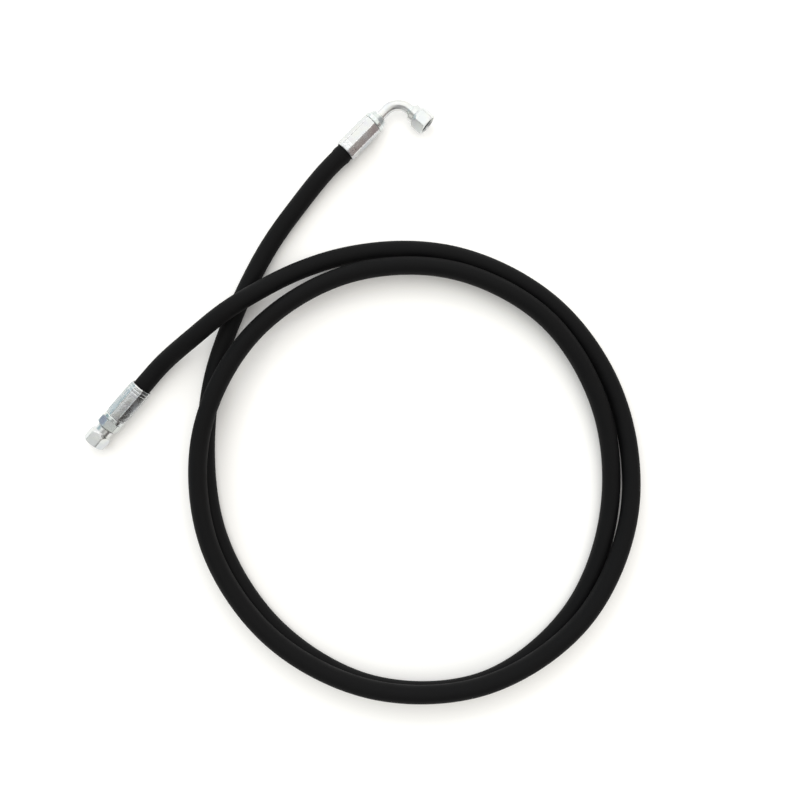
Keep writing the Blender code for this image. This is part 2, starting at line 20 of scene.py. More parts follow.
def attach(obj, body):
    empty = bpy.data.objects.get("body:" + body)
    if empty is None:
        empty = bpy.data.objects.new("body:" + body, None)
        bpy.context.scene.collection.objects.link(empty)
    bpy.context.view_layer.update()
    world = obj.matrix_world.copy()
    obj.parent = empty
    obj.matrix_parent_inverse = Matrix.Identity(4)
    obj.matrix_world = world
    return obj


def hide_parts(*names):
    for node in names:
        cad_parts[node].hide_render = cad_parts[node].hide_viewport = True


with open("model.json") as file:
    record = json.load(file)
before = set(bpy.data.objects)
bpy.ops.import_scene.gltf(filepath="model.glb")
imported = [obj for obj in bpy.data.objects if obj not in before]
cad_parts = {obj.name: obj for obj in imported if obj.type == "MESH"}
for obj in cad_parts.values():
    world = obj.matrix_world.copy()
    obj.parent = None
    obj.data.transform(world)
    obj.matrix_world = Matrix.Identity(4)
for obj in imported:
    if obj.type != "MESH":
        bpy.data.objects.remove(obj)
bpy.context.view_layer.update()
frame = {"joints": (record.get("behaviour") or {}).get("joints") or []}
LOG = logging.getLogger("hose_assembly")

UP = Vector((0.0, 0.0, 1.0))
WHITE = (1.0, 1.0, 1.0)

Colour = tuple[float, float, float]
Place = tuple[float, float, float]
Line = list[tuple[float, float]]
Array = np.ndarray
Socket = bpy.types.NodeSocket
Node = bpy.types.Node
Tree = bpy.types.NodeTree
Mesh = bpy.types.Mesh
Material = bpy.types.Material


class Body(Enum):
    """The solids' bodies that pieces ride on."""

    HOSE = "hose_and_fittings"
    STRAIGHT_NUT = "straight_swivel_nut"
    ELBOW_NUT = "elbow_swivel_nut"


class Slot(Enum):
    """The record's material slots."""

    COVER = "cover_rubber"
    WIRE = "braid_wire"
    LINING = "tube_rubber"
    FERRULE = "ferrule_zinc"
    INSERT = "insert_zinc"
    PIPE = "pipe_zinc"
    NUT = "nut_zinc"
    SEAL = "seal_rubber"


class Kind(Enum):
    """The socket types of node groups."""

    FLOAT = "NodeSocketFloat"
    WHOLE = "NodeSocketInt"
    VECTOR = "NodeSocketVector"
    SHAPE = "NodeSocketGeometry"
    FINISH = "NodeSocketMaterial"


# Node trees


@dataclass
class Graph:
    """A node tree under construction."""

    tree: Tree

    def feed(self, node: Node, feeds: dict) -> None:
        """Give inputs of a node a constant or a socket each, by name or number."""
        for key, value in feeds.items():
            if isinstance(value, Socket):
                self.tree.links.new(value, node.inputs[key])
            else:
                node.inputs[key].default_value = value

    def add(self, kind: str, feeds: dict | None = None, **options: object) -> Node:
        """Add a node, set its options and feed its inputs.

        Args:
            kind: Blender's name of the node's type.
            feeds: a constant or a socket for each input, by the input's name or number.
            options: the node's own options.

        Returns:
            The new node.
        """
        node = self.tree.nodes.new(kind)
        for name, value in options.items():
            setattr(node, name, value)
        self.feed(node, feeds or {})
        return node

    def out(self, kind: str, feeds: dict | None = None, **options: object) -> Socket:
        """Add a node and give its first output."""
        return self.add(kind, feeds, **options).outputs[0]

    def maths(self, operation: str, *values: float | Socket) -> Socket:
        """Add a Math node and give its result."""
        return self.out("ShaderNodeMath", dict(enumerate(values)), operation=operation)

    def noise(self, vector: Socket, scale: float | Socket, detail: float) -> Socket:
        """Add a noise texture and give its value, from 0 to 1."""
        return self.out("ShaderNodeTexNoise", {"Vector": vector, "Scale": scale, "Detail": detail})

    def spread(self, value: Socket, low: float | Socket, high: float | Socket, to_low: float,
               to_high: float, ease: str = "LINEAR") -> Socket:
        """Map a value from one range to another, held at the ends."""
        feeds = {0: value, 1: low, 2: high, 3: to_low, 4: to_high}
        return self.out("ShaderNodeMapRange", feeds, interpolation_type=ease)

    def mix(self, factor: float | Socket, first: Colour | Socket, second: Colour | Socket) -> Socket:
        """Mix two colours."""
        pair = [value if isinstance(value, Socket) else (*value, 1.0) for value in (first, second)]
        node = self.add("ShaderNodeMix", {0: factor, 6: pair[0], 7: pair[1]}, data_type="RGBA")
        return node.outputs[2]

    def attribute(self, name: str, output: str = "Fac") -> Socket:
        """Read one of the piece's own attributes."""
        return self.add("ShaderNodeAttribute", attribute_name=name).outputs[output]

    def measure(self, operation: str, spot: Socket, place: Place) -> Socket:
        """Add a Vector Math node that compares a spot with a fixed vector, and give its number."""
        node = self.add("ShaderNodeVectorMath", {0: spot, 1: place}, operation=operation)
        return node.outputs["Value"]

    def group(self, tree: Tree, **feeds: float | Socket) -> Socket:
        """Add a shared shader group and give its result."""
        return self.out("ShaderNodeGroup", feeds, node_tree=tree)

    def bump(self, height: Socket, strength: float, depth: float, under: Socket | None = None) -> Socket:
        """Add a bump, on top of another one if that is given."""
        feeds = {"Strength": strength, "Distance": depth, "Height": height}
        if under is not None:
            feeds["Normal"] = under
        return self.out("ShaderNodeBump", feeds)

    def mark(self, shape: Socket, name: str, value: float | Socket, kind: str = "FLOAT") -> Socket:
        """Store an attribute on a shape."""
        feeds = {"Geometry": shape, "Name": name, "Value": value}
        return self.out("GeometryNodeStoreNamedAttribute", feeds, data_type=kind)

    def run_out_bar(self, line: Socket, radius: Socket, sides: int, full: float, power: float) -> Socket:
        """Sweep a closed bar along a line, drawn thin at both ends.

        Args:
            line: the curve that it follows.
            radius: its radius.
            sides: how many sides it has.
            full: its thickness in the middle, as a share of the radius.
            power: how late it starts to thin.

        Returns:
            The bar.
        """
        factor = self.add("GeometryNodeSplineParameter").outputs["Factor"]
        off_middle = self.maths("ABSOLUTE", self.maths("MULTIPLY_ADD", factor, 2.0, -1.0))
        taper = self.maths("SUBTRACT", full, self.maths("POWER", off_middle, power))
        profile = self.out("GeometryNodeCurvePrimitiveCircle", {"Resolution": sides, "Radius": radius})
        feeds = {"Curve": line, "Profile Curve": profile, "Scale": taper, "Fill Caps": True}
        return self.out("GeometryNodeCurveToMesh", feeds)

    def end(self, value: Socket, result: Socket) -> Tree:
        """Link a group's result and give the group."""
        self.tree.links.new(value, result)
        return self.tree

    def dress(self, shape: Socket, finish: Socket, result: Socket) -> Tree:
        """End a group that makes a shape: real geometry with its material."""
        real = self.out("GeometryNodeRealizeInstances", {"Geometry": shape})
        return self.end(self.out("GeometryNodeSetMaterial", {"Geometry": real, "Material": finish}), result)


def new_group(name: str, kind: str, inputs: dict[str, float | Kind], label: str,
              gives: Kind) -> tuple[Graph, dict[str, Socket], Socket]:
    """Start a node group with named inputs and one result.

    Args:
        name: the group's name.
        kind: ShaderNodeTree or GeometryNodeTree.
        inputs: each input's default, or only its socket type, by name.
        label: the result's name.
        gives: the result's socket type.

    Returns:
        The group's graph, its inputs by name and the socket that takes its result.
    """
    tree = bpy.data.node_groups.new(name, kind)
    for title, given in inputs.items():
        plain = Kind.WHOLE if isinstance(given, int) else Kind.FLOAT
        socket = given if isinstance(given, Kind) else plain
        made = tree.interface.new_socket(title, in_out="INPUT", socket_type=socket.value)
        if socket is plain:
            made.default_value = given
    tree.interface.new_socket(label, in_out="OUTPUT", socket_type=gives.value)
    graph = Graph(tree)
    entry, exit_node = graph.add("NodeGroupInput"), graph.add("NodeGroupOutput")
    return graph, {title: entry.outputs[title] for title in inputs}, exit_node.inputs[label]


# Shader groups that several finishes share

GRAIN_RATIO = 3.7
GRAIN_SHARE = 0.45
PATCH_SOFTNESS = 0.25
EDGE_MASK_FROM = 0.42
EDGE_MASK_TO = 0.68


def grain_group() -> Tree:
    """A fine skin of two noises, for moulded rubber and plated steel alike."""
    inputs = {"Vector": Kind.VECTOR, "Scale": 900.0}
    graph, given, result = new_group("Fine grain", "ShaderNodeTree", inputs, "Height", Kind.FLOAT)
    coarse = graph.noise(given["Vector"], given["Scale"], detail=2.0)
    finer = graph.maths("MULTIPLY", given["Scale"], GRAIN_RATIO)
    fine = graph.noise(given["Vector"], finer, detail=2.0)
    return graph.end(graph.maths("MULTIPLY_ADD", fine, GRAIN_SHARE, coarse), result)


def patch_group() -> Tree:
    """Soft patches, for dust on rubber and for the clouding of plated steel."""
    inputs = {"Vector": Kind.VECTOR, "Scale": 40.0, "Cover": 0.5}
    graph, given, result = new_group("Soft patches", "ShaderNodeTree", inputs, "Mask", Kind.FLOAT)
    broad = graph.noise(given["Vector"], given["Scale"], detail=4.0)
    edge = graph.maths("SUBTRACT", 1.0, given["Cover"])
    high = graph.maths("ADD", edge, PATCH_SOFTNESS)
    low = graph.maths("SUBTRACT", edge, PATCH_SOFTNESS)
    return graph.end(graph.spread(broad, low, high, 0.0, 1.0, "SMOOTHSTEP"), result)


def wear_and_light_group() -> Tree:
    """A broken mask along a piece's own edges, for rubbed wear and for painted light on edges."""
    inputs = {"Vector": Kind.VECTOR, "Edge": 0.0, "Scale": 500.0}
    graph, given, result = new_group("Edge wear", "ShaderNodeTree", inputs, "Mask", Kind.FLOAT)
    uneven = graph.noise(given["Vector"], given["Scale"], detail=4.0)
    broken = graph.spread(uneven, EDGE_MASK_FROM, EDGE_MASK_TO, 0.0, 1.0)
    return graph.end(graph.maths("MULTIPLY", broken, given["Edge"]), result)


def turning_group() -> Tree:
    """Fine uneven lines round a turned piece, as a lathe tool leaves them."""
    inputs = {"Axial": 0.0, "Pitch": 0.0003}
    graph, given, result = new_group("Turning lines", "ShaderNodeTree", inputs, "Height", Kind.FLOAT)
    turns = graph.maths("DIVIDE", given["Axial"], given["Pitch"])
    feeds = {"W": turns, "Scale": 1.0, "Detail": 4.0}
    return graph.end(graph.out("ShaderNodeTexNoise", feeds, noise_dimensions="1D"), result)


@dataclass
class Effects:
    """The shader groups, built once."""

    grain: Tree = field(default_factory=grain_group)
    patches: Tree = field(default_factory=patch_group)
    wear_and_light: Tree = field(default_factory=wear_and_light_group)
    turning: Tree = field(default_factory=turning_group)


# Finishes


def new_material(slot: Slot) -> tuple[Material, Graph, Node, Socket]:
    """Start a material.

    Args:
        slot: the slot that it is named after.

    Returns:
        The material, its graph, its Principled shader and the Object coordinates.
    """
    material = bpy.data.materials.new(slot.value)
    material.use_nodes = True
    graph = Graph(material.node_tree)
    shader = graph.tree.nodes["Principled BSDF"]
    return material, graph, shader, graph.add("ShaderNodeTexCoord").outputs["Object"]


@dataclass(frozen=True)
class Cast:
    """A cloudy tint of zinc plate."""

    colour: Colour
    scale: float
    cover: float
    share: float


@dataclass(frozen=True)
class ZincFinish:
    """Bright zinc plate with a pale blue, straw and violet cast, over turned or drawn steel."""

    slot: Slot
    base: Colour
    roughness: float
    line_strength: float = 0.10
    dent_strength: float = 0.12
    edge_wear_and_painted_light: Colour = (0.80, 0.80, 0.79)
    painted_dark_place: Place = (0.0, 0.0, -1.0)
    painted_dark_colour: Colour = (0.27, 0.27, 0.35)
    painted_dark_core: float = 0.0036
    painted_dark_rim: float = 0.0056
    painted_dark_ragged: float = 0.0012
    painted_dark_share: float = 0.85
    blue: Cast = Cast((0.48, 0.54, 0.59), 70.0, 0.45, 0.55)
    straw: Cast = Cast((0.58, 0.57, 0.49), 115.0, 0.38, 0.45)
    violet: Cast = Cast((0.48, 0.45, 0.53), 160.0, 0.34, 0.5)
    edge_wear_and_light_share: float = 0.8
    edge_mask_scale: float = 650.0
    dull: float = 0.07
    gloss: float = 0.05
    rub: float = 0.08
    line_pitch: float = 0.00025
    dent_scale: float = 210.0
    dent_depth: float = 0.0003
    grain_scale: float = 1400.0
    grain_strength: float = 0.05
    skin_depth: float = 0.0001

    def material(self, effects: Effects) -> Material:
        """Build the plated finish.

        Args:
            effects: the shared shader groups.

        Returns:
            The material.
        """
        material, graph, shader, spot = new_material(self.slot)
        edge_wear_and_painted_light = graph.group(effects.wear_and_light, Vector=spot, Edge=graph.attribute("edge"), Scale=self.edge_mask_scale)
        lines = graph.group(effects.turning, Axial=graph.attribute("axial"), Pitch=self.line_pitch)
        grain = graph.group(effects.grain, Vector=spot, Scale=self.grain_scale)
        dents = graph.group(effects.grain, Vector=spot, Scale=self.dent_scale)
        colour = self.base
        clouds = []
        for cast in (self.blue, self.straw, self.violet):
            cloud = graph.group(effects.patches, Vector=spot, Scale=cast.scale, Cover=cast.cover)
            colour = graph.mix(graph.maths("MULTIPLY", cloud, cast.share), colour, cast.colour)
            clouds.append(cloud)
        # A painted dark reflection: one dark violet patch round a given place, ragged at its rim. The
        # default place lies below the floor, away from every piece.
        away = graph.measure("DISTANCE", spot, self.painted_dark_place)
        ragged = graph.maths("MULTIPLY_ADD", clouds[1], self.painted_dark_ragged, away)
        painted_dark = graph.spread(ragged, self.painted_dark_core, self.painted_dark_rim, self.painted_dark_share, 0.0)
        colour = graph.mix(painted_dark, colour, self.painted_dark_colour)
        # Edges take the edge colour: rubbed wear, and painted light as well, a painted highlight along the
        # ferrules' crimp lines and painted shade along the nut's edges.
        colour = graph.mix(graph.maths("MULTIPLY", edge_wear_and_painted_light, self.edge_wear_and_light_share), colour, self.edge_wear_and_painted_light)
        rough = graph.spread(clouds[0], 0.0, 1.0, self.roughness - self.gloss, self.roughness + self.dull)
        rough = graph.maths("MULTIPLY_ADD", edge_wear_and_painted_light, -self.rub, rough)
        rough = graph.maths("MULTIPLY_ADD", lines, self.rub, rough)
        bump = graph.bump(dents, self.dent_strength, self.dent_depth)
        bump = graph.bump(lines, self.line_strength, self.skin_depth, bump)
        bump = graph.bump(grain, self.grain_strength, self.skin_depth, bump)
        graph.feed(shader, {"Metallic": 1.0, "Base Color": colour, "Roughness": rough, "Normal": bump})
        return material


@dataclass(frozen=True)
class RubberFinish:
    """Smooth matt black rubber with a fine skin and a little dust."""

    slot: Slot
    black: Colour = (0.0034, 0.0034, 0.0038)
    roughness: float = 0.70
    grain_strength: float = 0.20
    dust: Colour = (0.0105, 0.0102, 0.0102)
    dust_scale: float = 55.0
    dust_cover: float = 0.42
    dust_share: float = 0.35
    speck_scale: float = 2600.0
    speck_from: float = 0.66
    speck_to: float = 0.74
    speck_share: float = 0.25
    specular: float = 0.11
    gloss: float = 0.06
    dull: float = 0.10
    grain_scale: float = 1600.0
    skin_depth: float = 0.0001

    def material(self, effects: Effects) -> Material:
        """Build the rubber finish.

        Args:
            effects: the shared shader groups.

        Returns:
            The material.
        """
        material, graph, shader, spot = new_material(self.slot)
        dust = graph.group(effects.patches, Vector=spot, Scale=self.dust_scale, Cover=self.dust_cover)
        grain = graph.group(effects.grain, Vector=spot, Scale=self.grain_scale)
        fleck = graph.noise(spot, self.speck_scale, detail=1.0)
        speck = graph.spread(fleck, self.speck_from, self.speck_to, 0.0, 1.0)
        colour = graph.mix(graph.maths("MULTIPLY", dust, self.dust_share), self.black, self.dust)
        colour = graph.mix(graph.maths("MULTIPLY", speck, self.speck_share), colour, self.dust)
        rough = graph.spread(dust, 0.0, 1.0, self.roughness - self.gloss, self.roughness + self.dull)
        bump = graph.bump(grain, self.grain_strength, self.skin_depth)
        graph.feed(shader, {"Specular IOR Level": self.specular, "Base Color": colour, "Roughness": rough,
                            "Normal": bump})
        return material


@dataclass(frozen=True)
class BraidFinish:
    """Brass-coated steel wires, braided in two crossing sets."""

    slot: Slot
    wire: Colour = (0.58, 0.50, 0.36)
    shade_and_grime: Colour = (0.10, 0.08, 0.06)
    strands: float = 18.0
    lay_length: float = 0.040
    roughness: float = 0.38
    grime_scale: float = 90.0
    grime_cover: float = 0.4
    grime_share: float = 0.4
    dull: float = 0.2
    wire_strength: float = 0.6
    wire_depth: float = 0.0003

    def material(self, effects: Effects) -> Material:
        """Build the braided finish.

        Args:
            effects: the shared shader groups.

        Returns:
            The material.
        """
        material, graph, shader, spot = new_material(self.slot)
        around = graph.add("ShaderNodeSeparateXYZ", {0: graph.attribute("around", "Vector")}).outputs
        angle = graph.maths("ARCTAN2", around["Y"], around["X"])
        turn = graph.maths("MULTIPLY", graph.attribute("axial"), 2 * math.pi / self.lay_length)
        sets = []
        for side in (1.0, -1.0):
            phase = graph.maths("MULTIPLY", graph.maths("MULTIPLY_ADD", turn, side, angle), self.strands)
            sets.append(graph.maths("SINE", phase))
        height = graph.spread(graph.maths("MULTIPLY", *sets), -1.0, 1.0, 0.0, 1.0)
        grime = graph.group(effects.patches, Vector=spot, Scale=self.grime_scale, Cover=self.grime_cover)
        # Painted shade: the hollows between the wires are darkened towards the dark colour, which the grime
        # patches take as well.
        colour = graph.mix(height, self.shade_and_grime, self.wire)
        colour = graph.mix(graph.maths("MULTIPLY", grime, self.grime_share), colour, self.shade_and_grime)
        rough = graph.spread(grime, 0.0, 1.0, self.roughness, self.roughness + self.dull)
        bump = graph.bump(height, self.wire_strength, self.wire_depth)
        graph.feed(shader, {"Metallic": 1.0, "Base Color": colour, "Roughness": rough, "Normal": bump})
        return material


class Finish(Protocol):
    """What a piece is dressed in."""

    slot: Slot

    def material(self, effects: Effects) -> Material:
        """Build the finish's material."""


COVER = RubberFinish(Slot.COVER)
LINING = RubberFinish(Slot.LINING, (0.006, 0.006, 0.006), 0.42)
SEAL = RubberFinish(Slot.SEAL, (0.005, 0.005, 0.005), 0.36, 0.08)
BRAID = BraidFinish(Slot.WIRE)
FERRULE_ZINC = ZincFinish(Slot.FERRULE, (0.54, 0.55, 0.55), 0.21, 0.05, 0.55)
# The painted dark reflection sits on one flat of the straight insert's hexagon.
INSERT_ZINC = ZincFinish(Slot.INSERT, (0.56, 0.59, 0.57), 0.22, painted_dark_place=(-0.0174, -0.1725, 0.0162))
PIPE_ZINC = ZincFinish(Slot.PIPE, (0.60, 0.60, 0.59), 0.28, 0.03)
# The nut's edge colour is dark: painted shade along its edges and corners.
NUT_ZINC = ZincFinish(Slot.NUT, (0.61, 0.62, 0.605), 0.27, 0.06, edge_wear_and_painted_light=(0.34, 0.33, 0.32))


# Making pieces


def axis_matrix(place: Vector, forward: Vector) -> Matrix:
    """The frame of a fitting: +Z along its axis and +Y straight up."""
    turn = Matrix((UP.cross(forward), UP, forward)).transposed()
    return Matrix.Translation(place) @ turn.to_4x4()


def in_scene(name: str, data: bpy.types.ID) -> bpy.types.Object:
    """Put data in the scene as an object."""
    made = bpy.data.objects.new(name, data)
    bpy.context.scene.collection.objects.link(made)
    return made


def add_piece(name: str, mesh: Mesh, finish: Finish, body: Body, *nodes: str) -> bpy.types.Object:
    """Put a finished mesh in the scene as a piece that rides on a body.

    Args:
        name: the piece's name.
        mesh: its mesh, in the row frame.
        finish: what it is dressed in; not used, as the mesh already carries its material.
        body: the body that it rides on.
        nodes: the solids that it stands for.

    Returns:
        The piece.
    """
    piece = in_scene(name, mesh)
    mesh.name = name
    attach(piece, body.value)
    if nodes:
        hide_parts(*nodes)
    LOG.info("%s rides on %s, %d faces", name, body.value, len(mesh.polygons))
    return piece


def line_mesh(points: list[Vector], swell: Array) -> Mesh:
    """A line of points as a mesh, with how much a tube along it swells at each."""
    mesh = bpy.data.meshes.new("line")
    edges = [(i, i + 1) for i in range(len(points) - 1)]
    mesh.from_pydata([tuple(point) for point in points], edges, [])
    mesh.attributes.new("swell", "FLOAT", "POINT").data.foreach_set("value", swell)
    return mesh


# Geometry Nodes trees

WELD = 0.000001
BAR_SIDES = 14
BAR_POINTS = 40
BAR_FULL = 1.02
BAR_POWER = 14.0
THREAD_STEPS = 56
THREAD_SIDES = 3
THREAD_FULL = 1.05
THREAD_POWER = 20.0


def wall_tree() -> Tree:
    """A tree that makes a closed tube wall along a line, marked with how far along and round it is."""
    inputs = {"Line": Kind.SHAPE, "Radius": 0.0075, "Wall": 0.001, "Sides": 32, "Finish": Kind.FINISH}
    graph, given, result = new_group("Tube wall", "GeometryNodeTree", inputs, "Tube", Kind.SHAPE)
    curve = graph.out("GeometryNodeMeshToCurve", {"Mesh": given["Line"]})
    line = graph.mark(curve, "axial", graph.add("GeometryNodeSplineParameter").outputs["Length"])
    circle = graph.out("GeometryNodeCurvePrimitiveCircle",
                       {"Resolution": given["Sides"], "Radius": given["Radius"]})
    spot = graph.out("GeometryNodeInputPosition")
    outward = graph.out("ShaderNodeVectorMath", {0: spot}, operation="NORMALIZE")
    rim = graph.mark(circle, "around", outward, "FLOAT_VECTOR")
    swell = graph.out("GeometryNodeInputNamedAttribute", {"Name": "swell"}, data_type="FLOAT")
    skin = graph.out("GeometryNodeCurveToMesh", {"Curve": line, "Profile Curve": rim, "Scale": swell})
    inwards = graph.maths("MULTIPLY", given["Wall"], -1.0)
    feeds = {"Mesh": skin, "Offset Scale": inwards, "Individual": False}
    bore = graph.out("GeometryNodeExtrudeMesh", feeds)
    both = graph.add("GeometryNodeJoinGeometry", {"Geometry": skin})
    graph.feed(both, {0: graph.out("GeometryNodeFlipFaces", {"Mesh": bore})})
    closed = graph.out("GeometryNodeMergeByDistance", {"Geometry": both.outputs[0], "Distance": WELD})
    smooth = graph.out("GeometryNodeSetShadeSmooth", {"Geometry": closed})
    return graph.dress(smooth, given["Finish"], result)


def crimp_line_tree() -> Tree:
    """A tree that sets thin round bars side by side round an axis, with run-out ends."""
    inputs = {"Jaws": 8, "Radius": 0.009, "Thickness": 0.0004, "Length": 0.03, "Setback": 0.001,
              "Turn": 0.0, "Finish": Kind.FINISH}
    graph, given, result = new_group("Crimp lines", "GeometryNodeTree", inputs, "Lines", Kind.SHAPE)
    ring = graph.out("GeometryNodeMeshCircle", {"Vertices": given["Jaws"], "Radius": given["Radius"]})
    end, rise, spin = (graph.out("ShaderNodeCombineXYZ", {"Z": given[name]})
                       for name in ("Length", "Setback", "Turn"))
    straight = graph.out("GeometryNodeCurvePrimitiveLine", {"End": end})
    line = graph.out("GeometryNodeResampleCurve", {"Curve": straight, "Count": BAR_POINTS})
    bar = graph.run_out_bar(line, given["Thickness"], BAR_SIDES, BAR_FULL, BAR_POWER)
    bars = graph.out("GeometryNodeInstanceOnPoints", {"Points": ring, "Instance": bar})
    placed = graph.out("GeometryNodeTransform", {"Geometry": bars, "Translation": rise, "Rotation": spin})
    smooth = graph.out("GeometryNodeSetShadeSmooth", {"Geometry": placed})
    real = graph.out("GeometryNodeRealizeInstances", {"Geometry": smooth})
    spot = graph.out("GeometryNodeInputPosition")
    height = graph.add("ShaderNodeSeparateXYZ", {0: spot}).outputs["Z"]
    # Each bar is marked as edge all over, so the finish's edge colour paints a highlight along it.
    marked = graph.mark(graph.mark(real, "axial", height), "edge", 1.0)
    return graph.dress(marked, given["Finish"], result)


def thread_tree() -> Tree:
    """A tree that winds an inside screw thread of triangular section, running out at both ends."""
    inputs = {"Radius": 0.0069, "Section": 0.0006, "Turns": 5.0, "Length": 0.008, "Finish": Kind.FINISH}
    graph, given, result = new_group("Inside thread", "GeometryNodeTree", inputs, "Thread", Kind.SHAPE)
    helix = graph.out("GeometryNodeCurveSpiral", {
        "Resolution": THREAD_STEPS, "Rotations": given["Turns"], "Start Radius": given["Radius"],
        "End Radius": given["Radius"], "Height": given["Length"]})
    level = graph.out("GeometryNodeSetCurveNormal", {"Curve": helix}, mode="Z_UP")
    ridge = graph.run_out_bar(level, given["Section"], THREAD_SIDES, THREAD_FULL, THREAD_POWER)
    return graph.dress(ridge, given["Finish"], result)


@dataclass
class Workshop:
    """What pieces are made with: Geometry Nodes trees, shader groups and materials, each built once."""

    wall: Tree = field(default_factory=wall_tree)
    crimp_lines: Tree = field(default_factory=crimp_line_tree)
    thread: Tree = field(default_factory=thread_tree)
    effects: Effects = field(default_factory=Effects)
    materials: dict[Slot, Material] = field(default_factory=dict)

    def material(self, finish: Finish) -> Material:
        """Give a finish's material."""
        if finish.slot not in self.materials:
            self.materials[finish.slot] = finish.material(self.effects)
        return self.materials[finish.slot]

    def grow(self, tree: Tree, finish: Finish, sizes: dict[str, float], host: Mesh | None = None) -> Mesh:
        """Grow a plain mesh from a Geometry Nodes tree.

        Args:
            tree: the tree.
            finish: what the mesh is dressed in.
            sizes: a value for each of the tree's other named inputs.
            host: the mesh that it starts from, if it needs one.

        Returns:
            The mesh that the tree makes.
        """
        grower = in_scene(tree.name, bpy.data.meshes.new(tree.name) if host is None else host)
        modifier = grower.modifiers.new(tree.name, "NODES")
        modifier.node_group = tree
        values = {**sizes, "Finish": self.material(finish)}
        for socket in tree.interface.items_tree:
            if socket.in_out == "INPUT" and socket.name in values:
                modifier[socket.identifier] = values[socket.name]
        depsgraph = bpy.context.evaluated_depsgraph_get()
        grown = grower.evaluated_get(depsgraph)
        mesh = bpy.data.meshes.new_from_object(grown, preserve_all_data_layers=True, depsgraph=depsgraph)
        bpy.data.objects.remove(grower)
        return mesh


# Turned pieces

FILLET = 0.0003
FINE_FILLET = 0.0002
STRAIGHT_ON = 0.995
CORNER_SHARE = 0.3
CORNER_LEAD = 1.4
CORNER_POINTS = 5


class Section(Protocol):
    """How a turned piece departs from round."""

    def angles(self) -> Array:
        """Where round the axis the piece has its points."""

    def trim(self, radius: Array, height: Array, angle: Array) -> tuple[Array, Array]:
        """The trimmed radius, and how near to an edge each point is."""


@dataclass(frozen=True)
class RoundSection:
    """A plain round."""

    steps: int = 112

    def angles(self) -> Array:
        """Even steps round the axis."""
        return np.linspace(0.0, 2 * math.pi, self.steps, endpoint=False)

    def trim(self, radius: Array, height: Array, angle: Array) -> tuple[Array, Array]:
        """Leave the radius as it is."""
        return radius, np.zeros_like(radius)


@dataclass(frozen=True)
class HexSection:
    """A hexagon between two heights, one flat facing a turn from straight up, with eased corners."""

    flats: float
    low: float
    high: float
    turn: float = 0.0
    corner_power: float = 42.0
    ease: float = 0.00005
    bore_share: float = 0.8
    corner_from: float = 1.10
    corner_span: float = 0.04
    edge_width: float = 0.00025
    steps: tuple[float, ...] = (0.5, 1.1, 2.0, 3.2, 5.0, 7.5, 11.0, 15.0, 19.0, 23.0, 27.0)

    def angles(self) -> Array:
        """Points that crowd towards the six corners."""
        offsets = [-step for step in reversed(self.steps)] + [0.0] + list(self.steps)
        corners = [math.pi / 2 - self.turn + math.pi / 6 + k * math.pi / 3 for k in range(6)]
        return np.array([corner + math.radians(offset) for corner in corners for offset in offsets])

    def trim(self, radius: Array, height: Array, angle: Array) -> tuple[Array, Array]:
        """Cut the radius back to the six flats, and mark the corners and chamfer lines."""
        half = self.flats / 2
        faces = [math.pi / 2 - self.turn + k * math.pi / 3 for k in range(6)]
        reach = sum(np.maximum(np.cos(angle - face), 0.0) ** self.corner_power for face in faces)
        flat = half / reach ** (1 / self.corner_power)
        apart = np.abs(radius - flat)
        eased = np.minimum(radius, flat) - self.ease * np.log1p(np.exp(-apart / self.ease))
        inside = (height > self.low) & (height < self.high) & (radius > self.bore_share * half)
        corner = np.clip((flat / half - self.corner_from) / self.corner_span, 0.0, 1.0) * (radius >= flat)
        edge = np.maximum(np.exp(-(apart / self.edge_width) ** 2), corner)
        return np.where(inside, eased, radius), np.where(inside, edge, 0.0)


@dataclass(frozen=True)
class CrimpSection:
    """A round pressed nearly flat by each crimping jaw, with all the lines turned in it."""

    outer: float
    turn: float
    jaws: int = 8
    sink: float = 0.00061
    steps: int = 24
    skin: float = 0.0008
    line_from: float = 0.92
    line_span: float = 0.08

    def angles(self) -> Array:
        """Even steps, with a point on each line between two jaws."""
        even = np.linspace(0.0, 2 * math.pi, self.jaws * self.steps, endpoint=False)
        return even + math.pi / 2 - self.turn

    def trim(self, radius: Array, height: Array, angle: Array) -> tuple[Array, Array]:
        """Press the outside in between the jaws' lines, and mark the lines."""
        jaw = 2 * math.pi / self.jaws
        across = ((angle - math.pi / 2 + self.turn) % jaw) / jaw * 2 - 1
        outside = radius > self.outer - self.skin
        line = np.clip((np.abs(across) - self.line_from) / self.line_span, 0.0, 1.0)
        pressed = radius - self.sink * (1 - across ** 2)
        return np.where(outside, pressed, radius), np.where(outside, line, 0.0)


def finely(line: Line, step: float) -> Line:
    """The same line with its slanted stretches cut into short steps.

    Args:
        line: (radius, height) points.
        step: the longest that a piece of a slanted stretch may be.

    Returns:
        The line with more points.
    """
    fine = line[:1]
    for (r0, h0), (r1, h1) in zip(line, line[1:]):
        slanted = abs(r1 - r0) > step and abs(h1 - h0) > step
        count = math.ceil(math.hypot(r1 - r0, h1 - h0) / step) if slanted else 1
        fine += [(r0 + (r1 - r0) * i / count, h0 + (h1 - h0) * i / count) for i in range(1, count + 1)]
    return fine


